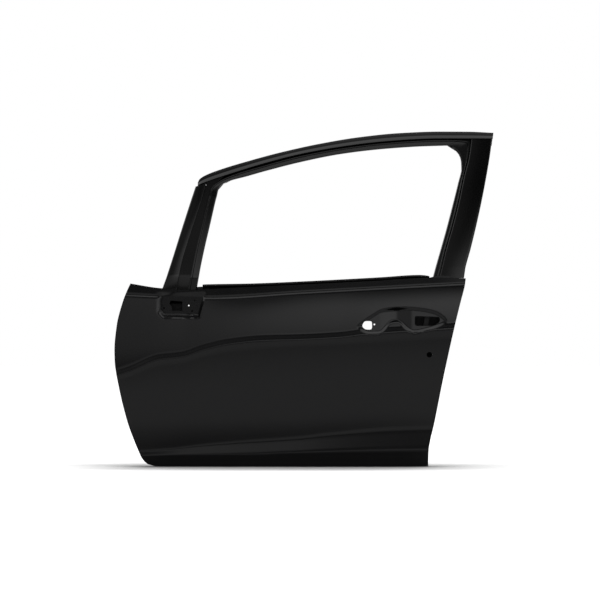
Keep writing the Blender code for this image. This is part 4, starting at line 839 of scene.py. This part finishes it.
def inner_panel_place(u, v):
    """Place of the inner panel's face: u runs over front flange, wall, trim face, rear wall and flange."""
    on_flange = u <= -2 or u >= 3

    def height(x):
        if v == -2:
            return PANEL_BOTTOM_Z + HEM_CLEARANCE
        if v < 1:
            return PANEL_BOTTOM_Z + FLANGE_HEIGHT + WALL_DRAFT * (v + 1)
        if on_flange:
            return panel_height(x, v) - (HEM_CLEARANCE if v == LAST_LINE else 0)
        if v < 7:
            return up(INNER_ROW_SHARES[v])
        drops = {7: FACE_DROP, 8: SHELF_DROP, 8.5: TOP_FLANGE, 9: 0}
        return panel_top(x) - drops[v]

    def across(z):
        if u <= -2:
            fold = front_wall(z) + (HINGE_SEAT_RISE if v > 0 else 0)
            return mix(fold, front_edge(z) + HEM_CLEARANCE, -2 - u)
        if u == 4:
            return rear_edge(z) - HEM_CLEARANCE
        if -2 < u <= -1 and v > 8:
            return front_wall(z) + PANEL_CORNER / 2 * (u + 2)
        corner = 0 if u <= -1 or u >= 2 else PANEL_CORNER
        return mix(front_wall(z) + corner, rear_wall(z) - corner, min(max(u, 0), 1))

    z = height(along(min(max(u, 0), 1)))
    for _ in range(SETTLE_ROUNDS):
        x = across(z)
        z = height(x)
    if on_flange or v <= -1:
        return x, skin_y(x, z) + FLANGE_DEPTH, z
    depth = TRIM_DEPTH
    if u < 0 or u > 1 or v == 0:
        depth -= PANEL_CORNER
    if EMBOSS_SHARES[0][0] < u < EMBOSS_SHARES[1][0] and EMBOSS_SHARES[0][1] <= v < EMBOSS_SHARES[1][1]:
        depth -= EMBOSS
    if v >= 8:
        top = top_flange_y(x, z)
        depth = min(depth, mix(TRIM_DEPTH, top, 0.5) if v == 8 else top)
    if u in WALL_LINES and v > 0:
        depth = mix(skin_y(x, z) + FLANGE_DEPTH, depth, WALL_LINE_SHARE)
    return x, depth, z


def hinge_wall_holes():
    """Outlines, in (y, z), of both hinges' bolt holes, the check strap's slot and the harness hole."""
    outlines = []
    for z in (0, -HINGE_SPACING):
        for way in (-1, 1):
            spot = (0, z + way * HINGE_BOLT_SPACING / 2)
            outlines.append(round_outline(spot, HINGE_BOLT_HOLE, HINGE_BOLT_HOLE))
    outlines.append(box_outline((0, -HINGE_SPACING / 2), *CHECK_SLOT))
    outlines.append(round_outline((HARNESS_DEPTH, -HINGE_SPACING / 4), HARNESS_HOLE, HARNESS_HOLE))
    return outlines


def latch_screws():
    """Outlines, in (y, z), of the latch's screw holes beside its mouth."""
    return [round_outline((way * LATCH_PLATE_WIDTH / 4, up(LATCH_SHARE) + way * LATCH_SCREW_SPACING / 2),
                          TRIM_CLIP_HOLE, TRIM_CLIP_HOLE, LATCH_SCREW_SIDES) for way in (-1, 1)]


def latch_mouth():
    """The striker's way in, open to the trim face, as a prism along X."""
    z = up(LATCH_SHARE)
    depth, height = LATCH_MOUTH
    outline = box_outline((TRIM_DEPTH - depth / 2 + CUT_OVERRUN / 2, z), depth + CUT_OVERRUN, height)
    return outline, "X", rear_wall(z) - depth, rear_wall(z) + CUT_OVERRUN


def station_line(shares):
    """Place (x, z) at a station number along a curve through the frame's points."""
    across = smooth_line([(i, along(a)) for i, (a, _) in enumerate(shares)])
    height = smooth_line([(i, over(b)) for i, (_, b) in enumerate(shares)])
    return lambda t: (across(t), height(t))


window_edge = station_line(WINDOW_SHARES)
channel_lip = station_line(LIP_SHARES)


def ahead(t, distance):
    """Station number a distance on from t along the window's edge."""
    step = math.copysign(STATION_STEP_SHARE, distance)
    return t + abs(distance) * step / math.dist(window_edge(t), window_edge(t + step))


def channel_place(t, w):
    """Place across the glass channel: lip, drop, floor and curled window edge."""
    across, sink = CHANNEL_SECTION[int(w)]
    (x0, z0), (x1, z1) = channel_lip(t), window_edge(t)
    x, z = mix(x0, x1, across), mix(z0, z1, across)
    return x, frame_y(x, z) + sink, z


def banded(left, right, low, high, bands):
    """Place function of a patch with its section across the v rows, each band a share and a sink."""

    def height(x, v):
        return mix(low(x), high(x), bands[int(v)][0])

    spot = settle(left, right, height)

    def place(u, v):
        x, z = spot(u, v)
        return x, frame_y(x, z) + bands[int(v)][1], z

    return place


def ribbed(left, right, low, high, ribs):
    """Place function of an upright patch with its section across u; rows are frame heights between seams."""
    seams = {FOOT_ROW: low, SEAM_ROW: high}

    def place(u, v):
        across, sink = ribs[int(u)]
        height = seams.get(v, lambda x: over(v))
        z = height(left(BELT_Z))
        for _ in range(SETTLE_ROUNDS):
            x = mix(left(z), right(z), across)
            z = height(x)
        return x, frame_y(x, z) + sink, z

    return place


def polygon_distance(x, z, outline):
    """Distance of a point outside a closed outline, negative inside."""
    best, inside = 1e9, False
    for (x0, z0), (x1, z1) in zip(outline, outline[1:] + outline[:1]):
        dx, dz = x1 - x0, z1 - z0
        t = min(max(((x - x0) * dx + (z - z0) * dz) / (dx * dx + dz * dz + 1e-12), 0), 1)
        best = min(best, math.hypot(x - x0 - t * dx, z - z0 - t * dz))
        if (z0 > z) != (z1 > z) and x < x0 + (z - z0) * dx / dz:
            inside = not inside
    return -best if inside else best


def trim_openings():
    """Outlines of the large holes in the trim face."""
    shares = (FRONT_SERVICE_SHARES, REAR_SERVICE_SHARES, LOW_FRONT_SERVICE_SHARES, LOW_REAR_SERVICE_SHARES)
    return [soft_outline([side(corner) for corner in corners], SERVICE_CORNER, 8) for corners in shares]


def bead_rise(x, z, openings):
    """How far the trim face's pressed rims and beads stand out towards the cabin at a place."""
    rise = 0
    for outline in openings:
        gap = polygon_distance(x, z, outline)
        rise = max(rise, RIM_RISE * ease(1 - abs(gap - RIM_MIDDLE) / RIM_HALF))
    centre = side(SPEAKER_HOLE[0])
    around = math.hypot(x - centre[0], z - centre[1])
    rise = max(rise, SPEAKER_RISE * ease((SPEAKER_RIM - around) / BEAD_FALL))
    for start, end, half, height in BEADS:
        (x0, z0), (x1, z1) = side(start), side(end)
        dx, dz = x1 - x0, z1 - z0
        t = min(max(((x - x0) * dx + (z - z0) * dz) / (dx * dx + dz * dz), 0), 1)
        gap = math.hypot(x - x0 - t * dx, z - z0 - t * dz)
        level = height * ease((half - gap) / BEAD_FALL)
        if abs(level) > abs(rise):
            rise = level
    return rise


def build_inner_panel():
    """The pressed pan: hem flange, hinge wall, latch wall, trim face with its access holes."""
    columns = [-3, -2.5, -2, -1] + INNER_COLUMN_SHARES + [2, 3, 4]
    rows = [-2, -1, 0] + list(INNER_ROW_SHARES) + [7, 8, 8.5, 9]
    net = [[Vector(inner_panel_place(u, v)) for v in rows] for u in columns]

    def steps(count, length):
        places = []
        for i in range(count - 1):
            cells = max(1, math.ceil(length(i) / PAN_STEP))
            places += [i + k / cells for k in range(cells)]
        return places + [count - 1]

    def place(u, v):
        i, j = min(int(u), len(columns) - 2), min(int(v), len(rows) - 2)
        low = net[i][j].lerp(net[i + 1][j], u - i)
        high = net[i][j + 1].lerp(net[i + 1][j + 1], u - i)
        return low.lerp(high, v - j)

    middle = len(rows) // 2
    across = steps(len(columns), lambda i: (net[i + 1][middle] - net[i][middle]).length)
    upward = steps(len(rows), lambda j: max((net[k][j + 1] - net[k][j]).length for k in (3, 10)))
    pan = sheet("pan_sheet", across, upward, place, PANEL_SHEET, "structure", True)
    pan.modifiers.clear()
    add_modifier(pan, "BEVEL", width=PAN_BEND, segments=3, limit_method="ANGLE", angle_limit=PAN_BEND_ANGLE)
    bake(pan)
    openings = trim_openings()
    for vert in pan.data.vertices:
        x, y, z = vert.co
        if y > TRIM_DEPTH - 2 * EMBOSS and 0.02 < x < rear_wall(z) - 0.02:
            vert.co.y += bead_rise(x, z, openings)
        vert.co.x += CROWN * math.sin(11 * y + 5 * z)
        vert.co.y += CROWN * math.sin(7 * x + 3) * math.sin(9 * z + 2)
        vert.co.z += CROWN * math.sin(8 * x + 13 * y)
    add_modifier(pan, "SOLIDIFY", thickness=PANEL_SHEET, offset=1, use_even_offset=True,
                 use_quality_normals=True, thickness_clamp=2.0, use_thickness_angle_clamp=True)
    bake(pan)
    faces = openings + [hole(SPEAKER_HOLE, SPEAKER_SIDES), hole(MIRROR_ACCESS_HOLE, WIDE_SIDES)]
    faces.append(box_outline(side(HANDLE_ACCESS_HOLE[0]), *HANDLE_ACCESS_HOLE[1:], HOLE_CORNER, 4))
    centre = side(SPEAKER_HOLE[0])
    for i in range(SPEAKER_SCREWS):
        turn = 2 * math.pi * (i + 0.25) / SPEAKER_SCREWS
        spot = (centre[0] + SPEAKER_SCREW_CIRCLE / 2 * math.cos(turn),
                centre[1] + SPEAKER_SCREW_CIRCLE / 2 * math.sin(turn))
        faces.append(round_outline(spot, SCREW_HOLE, SCREW_HOLE, SCREW_SIDES))
    faces += [hole((place, TRIM_CLIP_HOLE, TRIM_CLIP_HOLE), CLIP_SIDES) for place in TRIM_CLIP_SHARES]
    holes = [(outline, "Y", TRIM_DEPTH - CUT_OVERRUN, TRIM_DEPTH + CUT_OVERRUN) for outline in faces]
    holes += [(outline, "X", -CUT_OVERRUN, CUT_OVERRUN) for outline in hinge_wall_holes()]
    holes.append(latch_mouth())
    x = rear_wall(up(LATCH_SHARE))
    holes += [(outline, "X", x - CUT_OVERRUN, x + CUT_OVERRUN) for outline in latch_screws()]
    for share in DRAIN_SHARES:
        x, floor = along(share), PANEL_BOTTOM_Z + FLANGE_HEIGHT
        slot = box_outline((x, DRAIN_DEPTH), *DRAIN_SLOT, DRAIN_SLOT[1] * 0.45, 4)
        holes.append((slot, "Z", floor - WALL_DRAFT, floor + 2 * WALL_DRAFT))
    cut(pan, holes)
    keep(pan, "primed_structure", "inner_panel", "inner_panel_front")


def build_belt():
    """The two belt reinforcements, one behind the skin and one on the inner panel's top flange."""

    def outer_place(u, v):
        x, _ = panel_place(u, LAST_LINE)
        top = top_line(x) - HEM_CLEARANCE
        top += (OUTER_BELT_RISE + HEM_CLEARANCE) * ease((x - rise_start) / (rise_end - rise_start))
        low = band_line(x) + BAND_ROLL + SEAM_GAP
        heights = (low - BELT_SLOPE - OUTER_BELT_FOOT, low - BELT_SLOPE, low, top)
        share = (heights[int(v)] - band_line(x) - BAND_ROLL) / (top_line(x) - band_line(x) - BAND_ROLL)
        rolled = PANEL_LINES[-2][1]
        y = -FACE_DEPTH + plan_curve(x) + mix(rolled, BELT_TUCK, share) + SKIN_SHEET + SEAM_GAP
        return x, y + (BELT_SHELF if v < 2 else 0), heights[int(v)]

    def inner_place(u, v):
        x = mix(along(INNER_BELT_REACH_SHARES[0]), along(INNER_BELT_REACH_SHARES[1]), u)
        top = inner_belt(x)
        drops = (BELT_FLANGE + BELT_SLOPE + BELT_FOOT, BELT_FLANGE + BELT_SLOPE, BELT_FLANGE, 0)
        slot = belt_y(x) + SKIN_SHEET + GLASS_SLOT
        seat = panel_top_y(x) - PANEL_SHEET - SEAM_GAP - HEAVY_SHEET
        return x, slot if v > 1 else seat, top - drops[int(v)]

    rise_start, rise_end = (along(share) for share in OUTER_BELT_RISE_SHARES)
    columns = spaced(OUTER_BELT_REACH_SHARES, OUTER_BELT_STEP)
    outer = sheet("belt_sheet_outer", columns, range(4), outer_place, FRAME_SHEET, "structure",
                  bend=BELT_BEND)
    keep(outer, "primed_structure", "outer_belt_reinforcement")
    columns = spaced((0, 1), INNER_BELT_STEP)
    inner = sheet("belt_sheet_inner", columns, range(4), inner_place, HEAVY_SHEET, "frame", bend=BELT_BEND)
    keep(inner, "primed_structure", "inner_belt_reinforcement")


def frame_sheet(name, columns, rows, place, towards_face, node, bend=FRAME_BEND):
    """One finished pressing of the window frame."""
    piece = sheet(name, columns, rows, place, FRAME_SHEET, "frame", towards_face, bend=bend)
    keep(piece, "primed_frame", node)


def build_channels():
    """The glass channel in three lengths, with a pressed gusset in each upper corner."""
    front, rear = FRONT_CORNER_SHARES, REAR_CORNER_SHARES
    lengths = [
        ("front_glass_channel", 0, front[0]), ("front_corner_gusset", *front),
        ("header_glass_channel", front[1], rear[0]), ("rear_corner_gusset", *rear),
        ("rear_glass_channel", rear[1], LAST_STATION_SHARE),
    ]
    for name, first, last in lengths:
        stations = spaced(range(first, last + 1), CHANNEL_STEP)
        if first:
            stations[0] = ahead(first, JOINT_GAP / 2)
        if last < LAST_STATION_SHARE:
            stations[-1] = ahead(last, -JOINT_GAP / 2)
        rows = range(len(CHANNEL_SECTION))
        frame_sheet(name + "_sheet", stations, rows, channel_place, True, name, CHANNEL_BEND)


def header_tip(z):
    return along(ROOF_SHARES[0][0])


def header_tail(z):
    return rear_sash(z) + HEADER_TAIL


def frame_foot(x):
    return BELT_Z - FRAME_TUCK_UNDER


def above_seam(x):
    return header_foot(x) + SEAM_GAP


def below_seam(x):
    return header_foot(x) - SEAM_GAP


def build_frame_faces():
    """The outer pressings of the window frame."""
    step_start, step_end = HEADER_STEP_SHARES
    roof_bands = [
        (0, FRAME_RECESS), (step_start, 0), (step_end, HEADER_LIP_SINK), (1, HEADER_LIP_SINK),
        (1, FRAME_FOLD),
    ]
    place = banded(header_tip, header_tail, above_seam, roof_line, roof_bands)
    columns = spaced(HEADER_COLUMN_SHARES, HEADER_STEP)
    frame_sheet("header_face", columns, range(len(roof_bands)), place, False, "header_rail_outer")

    heights = spaced(FRONT_ROW_SHARES, ROW_STEP)
    rows = [FOOT_ROW, *heights, SEAM_ROW]
    place = ribbed(front_sash, filler_front, frame_foot, below_seam, FRONT_SASH_RIBS)
    frame_sheet("front_sash_face", range(len(FRONT_SASH_RIBS)), rows, place, False, "front_sash_outer")

    lip = upright_line(LIP_SHARES[:FRONT_CORNER_SHARES[1]], over)
    left = lambda z: filler_front(z) + SEAM_GAP
    right = lambda z: min(lip(z), along(FILLER_END_SHARE))
    place = ribbed(left, right, frame_foot, above_seam, [(0, FRAME_RECESS), (1, FRAME_RECESS)])
    rows = [FOOT_ROW, *heights, *spaced(FILLER_ROW_SHARES, FILLER_STEP), SEAM_ROW]
    frame_sheet("front_filler_face", range(2), rows, place, False, "front_filler_web", 0)

    lip = upright_line(LIP_SHARES[REAR_CORNER_SHARES[0] + 1:], over)
    left = lambda z: lip(z) + FRAME_SHEET + SEAM_GAP
    foot = lambda x: top_line(x) + REAR_FACE_RISE
    place = ribbed(left, rear_sash, foot, below_seam, REAR_SASH_RIBS)
    rows = [FOOT_ROW, *spaced(REAR_ROW_SHARES, ROW_STEP), SEAM_ROW]
    frame_sheet("rear_sash_face", range(len(REAR_SASH_RIBS)), rows, place, False, "rear_sash_panel")


def build_frame_backs():
    """The inner pressings that close the window frame towards the cabin."""
    inner_foot = level_line(HEADER_INNER_FOOT_SHARES, over)
    flat = [(0, FRAME_DEPTH), (1, FRAME_DEPTH)]
    place = banded(header_tip, header_tail, inner_foot, roof_line, flat)
    columns = spaced(HEADER_COLUMN_SHARES, HEADER_STEP)
    frame_sheet("header_back", columns, range(2), place, True, "header_rail_inner", 0)

    window = upright_line(WINDOW_SHARES[:FRONT_CORNER_SHARES[0] + 4], over)
    rows = [FOOT_ROW, *spaced([*FRONT_ROW_SHARES, FRONT_CORNER_ROW_SHARE], ROW_STEP), SEAM_ROW]
    place = ribbed(front_sash, window, frame_foot, inner_foot, flat)
    frame_sheet("front_sash_back", range(2), rows, place, True, "front_sash_inner", 0)

    window = upright_line(WINDOW_SHARES[REAR_CORNER_SHARES[0]:], over)
    foot = lambda x: top_line(x) - REAR_FRAME_TUCK

    def tongue(z):
        inside = rear_wall(z) - PANEL_SHEET - TONGUE_CLEARANCE
        return rear_sash(z) if z > over(TONGUE_SHARE) else min(inside, rear_sash(z))

    place = ribbed(window, tongue, foot, inner_foot, flat)
    rows = [TONGUE_SHARE, TONGUE_SHARE + STATION_STEP_SHARE, *spaced(REAR_ROW_SHARES, ROW_STEP)]
    frame_sheet("rear_sash_back", range(2), [FOOT_ROW, *rows, SEAM_ROW], place, True, "rear_sash_inner", 0)


def new_material(name):
    """A material with its node tree and its main shader."""
    material = bpy.data.materials.new(name)
    material.use_nodes = True
    tree = material.node_tree
    return material, tree, tree.nodes["Principled BSDF"]


def primer(name, colours, rough_range, bump):
    """Black electrocoat: smooth, with a fine orange peel, faint clouding and a soft gloss."""
    material, tree, shader = new_material(name)
    spot = add_node(tree, "ShaderNodeTexCoord").outputs["Object"]
    cloud = add_node(tree, "ShaderNodeTexNoise", {"Vector": spot, "Scale": 1 / CLOUD_WIDTH, "Detail": 3.0})
    dark, light = (linear(colour) for colour in colours)
    tint = add_node(tree, "ShaderNodeMix", {"Factor": cloud.outputs["Fac"], "A": dark, "B": light},
                    data_type="RGBA")
    rough = add_node(tree, "ShaderNodeMapRange", {
        "Value": cloud.outputs["Fac"], "To Min": rough_range[0], "To Max": rough_range[1]})
    peel = add_node(tree, "ShaderNodeTexNoise", {"Vector": spot, "Scale": 1 / PEEL_WIDTH, "Detail": 2.0})
    relief = add_node(tree, "ShaderNodeBump", {
        "Height": peel.outputs["Fac"], "Strength": bump, "Distance": PEEL_DEPTH})
    feed(shader, {"Base Color": tint.outputs["Result"], "Roughness": rough.outputs["Result"],
                  "Normal": relief.outputs["Normal"], "IOR": PRIMER_IOR})
    return material


def mastic_material():
    """Expanded mastic: dull, dark grey and finely pitted."""
    material, tree, shader = new_material("expanded_mastic")
    spot = add_node(tree, "ShaderNodeTexCoord").outputs["Object"]
    pits = add_node(tree, "ShaderNodeTexNoise", {"Vector": spot, "Scale": 1 / PIT_WIDTH, "Detail": 4.0})
    relief = add_node(tree, "ShaderNodeBump", {
        "Height": pits.outputs["Fac"], "Strength": 0.6, "Distance": PIT_DEPTH})
    feed(shader, {"Base Color": linear("#2a2a2b"), "Roughness": 0.85, "Normal": relief.outputs["Normal"]})
    return material


def stage_sheet(name, size, place, turn, material):
    """A flat sheet of the studio that isn't part of the object."""
    shape = bmesh.new()
    bmesh.ops.create_grid(shape, x_segments=1, y_segments=1, size=size)
    bmesh.ops.rotate(shape, verts=shape.verts, matrix=Matrix.Rotation(turn, 3, "X"))
    bmesh.ops.translate(shape, verts=shape.verts, vec=place)
    thing = new_thing(name, shape, material)
    return thing


def white_when_seen(tree):
    """1 for what the camera, a reflection or a clear part looks at, 0 for the light itself."""
    rays = add_node(tree, "ShaderNodeLightPath").outputs
    seen = rays["Is Camera Ray"]
    for kind in ("Is Glossy Ray", "Is Transmission Ray"):
        seen = add_node(tree, "ShaderNodeMath", {0: seen, 1: rays[kind]}, operation="MAXIMUM").outputs[0]
    return seen


def floor_material():
    """White floor whose glow is darkened by ambient occlusion near the panel: a painted contact shadow where
    the panel stands on it.
    """
    material, tree, shader = new_material("studio_floor")
    # Painted shadow: the floor's glow falls off with ambient occlusion near the panel, a contact shadow
    # painted into its emission
    near = add_node(tree, "ShaderNodeAmbientOcclusion", {"Distance": SHADOW_REACH}, samples=16)
    painted_contact_shadow = add_node(tree, "ShaderNodeMath", {0: near.outputs["AO"], 1: SHADOW_FALL}, operation="POWER")
    seen = white_when_seen(tree)
    glow = add_node(tree, "ShaderNodeMath", {0: painted_contact_shadow.outputs[0], 1: seen}, operation="MULTIPLY")
    feed(shader, {"Base Color": (FLOOR_BASE, FLOOR_BASE, FLOOR_BASE, 1), "Roughness": 0.9,
                  "Specular IOR Level": 0.0, "Emission Color": (1, 1, 1, 1),
                  "Emission Strength": glow.outputs[0]})
    return material


def glow_material(name, level):
    """A surface that only shines, with its tree and its light."""
    material, tree, shader = new_material(name)
    tree.nodes.remove(shader)
    light = add_node(tree, "ShaderNodeEmission", {"Strength": level})
    feed(tree.nodes["Material Output"], {"Surface": light.outputs[0]})
    return material, tree, light


def screen_material():
    """The wall behind the camera: two columns of light levels by height, mixed from left to right."""
    material, tree, light = glow_material("studio_screen", SCREEN_LEVEL)
    spot = add_node(tree, "ShaderNodeTexCoord").outputs["Object"]
    parts = add_node(tree, "ShaderNodeSeparateXYZ", {0: spot}).outputs
    height = add_node(tree, "ShaderNodeMapRange", {
        "Value": parts["Z"], "From Min": -SCREEN_AWAY, "From Max": 2 * SCREEN_AWAY})
    across = add_node(tree, "ShaderNodeMapRange", {
        "Value": parts["X"], "From Min": SCREEN_TURN[0], "From Max": SCREEN_TURN[1]},
        interpolation_type="SMOOTHSTEP")
    columns = []
    for levels in (LEFT_LEVELS, RIGHT_LEVELS):
        ramp = add_node(tree, "ShaderNodeValToRGB", {"Fac": height.outputs["Result"]})
        steps = ramp.color_ramp.elements
        steps.remove(steps[1])
        for angle, level in levels:
            step = steps.new((math.tan(math.radians(angle)) + 1) / 3)
            step.color = (level, level, level, 1)
        columns.append(ramp.outputs["Color"])
    both = add_node(tree, "ShaderNodeMix", {
        "Factor": across.outputs["Result"], "A": columns[0], "B": columns[1]}, data_type="RGBA")
    feed(light, {"Color": both.outputs["Result"]})
    return material


def build_studio():
    """Pale floor, soft lamps, white surroundings, a screen behind the camera, and the camera square on."""
    stage_sheet("studio_floor", FLOOR_HALF, (0.5, 0, PANEL_BOTTOM_Z - FLOOR_DROP), 0, floor_material())
    screen = stage_sheet("studio_screen", 2 * SCREEN_AWAY, (0.5, -SCREEN_AWAY, 0), math.radians(90),
                         screen_material())
    ceiling = stage_sheet("studio_ceiling", 3 * CEILING_HEIGHT, (0.5, CEILING_BACK, CEILING_HEIGHT), 0,
                          glow_material("studio_ceiling", CEILING_LEVEL)[0])
    for thing in (screen, ceiling):
        thing.visible_camera = False
        thing.visible_diffuse = False
        thing.visible_shadow = False

    world = bpy.data.worlds.new("studio")
    world.use_nodes = True
    tree = world.node_tree
    level = add_node(tree, "ShaderNodeMapRange", {
        "Value": white_when_seen(tree), "To Min": WORLD_LEVEL, "To Max": 1.0})
    feed(tree.nodes["Background"], {"Color": (1, 1, 1, 1), "Strength": level.outputs["Result"]})
    bpy.context.scene.world = world

    for name, spot, target, size, power in LAMPS:
        lamp = bpy.data.lights.new(name, "AREA")
        lamp.shape = "RECTANGLE"
        lamp.size, lamp.size_y = size
        lamp.energy = power
        thing = bpy.data.objects.new(name, lamp)
        thing.location = spot
        thing.rotation_euler = (Vector(target) - Vector(spot)).to_track_quat("-Z", "Y").to_euler()
        thing.visible_glossy = False
        bpy.context.scene.collection.objects.link(thing)

    camera = bpy.data.cameras.new("camera")
    camera.sensor_width = camera.sensor_height = 36
    camera.sensor_fit = "HORIZONTAL"
    camera.lens = 36 * CAMERA_DISTANCE / (PICTURE * PIXEL)
    camera.clip_end = 100
    thing = bpy.data.objects.new("camera", camera)
    thing.location = (PANEL_FRONT_X + (PICTURE / 2 - FRONT_PIXEL) * PIXEL, -FACE_DEPTH - CAMERA_DISTANCE,
                      PANEL_BOTTOM_Z + (BOTTOM_PIXEL - PICTURE / 2) * PIXEL)
    thing.rotation_euler = (math.radians(90), 0, 0)
    bpy.context.scene.collection.objects.link(thing)
    bpy.context.scene.camera = thing
    bpy.context.scene.view_settings.view_transform = "Standard"


def main():
    """Gives every node its material, builds the sheets and the studio."""
    MATERIALS["skin"] = primer("primed_outer_panel", ("#080809", "#0a0a0b"), (0.12, 0.16), 0.08)
    MATERIALS["frame"] = primer("primed_window_frame", ("#060606", "#080808"), (0.12, 0.16), 0.08)
    MATERIALS["structure"] = primer("primed_structure", ("#0e0e0f", "#131314"), (0.30, 0.40), 0.20)
    MATERIALS["mastic"] = mastic_material()
    for entry in frame["record"]["subparts"]:
        for slot in frame["nodes"][entry["node"]].material_slots:
            slot.material = MATERIALS[entry["material_slot"].removeprefix("primed_")]
    build_outer_panel()
    build_inner_panel()
    build_belt()
    build_channels()
    build_frame_faces()
    build_frame_backs()
    build_studio()


main()
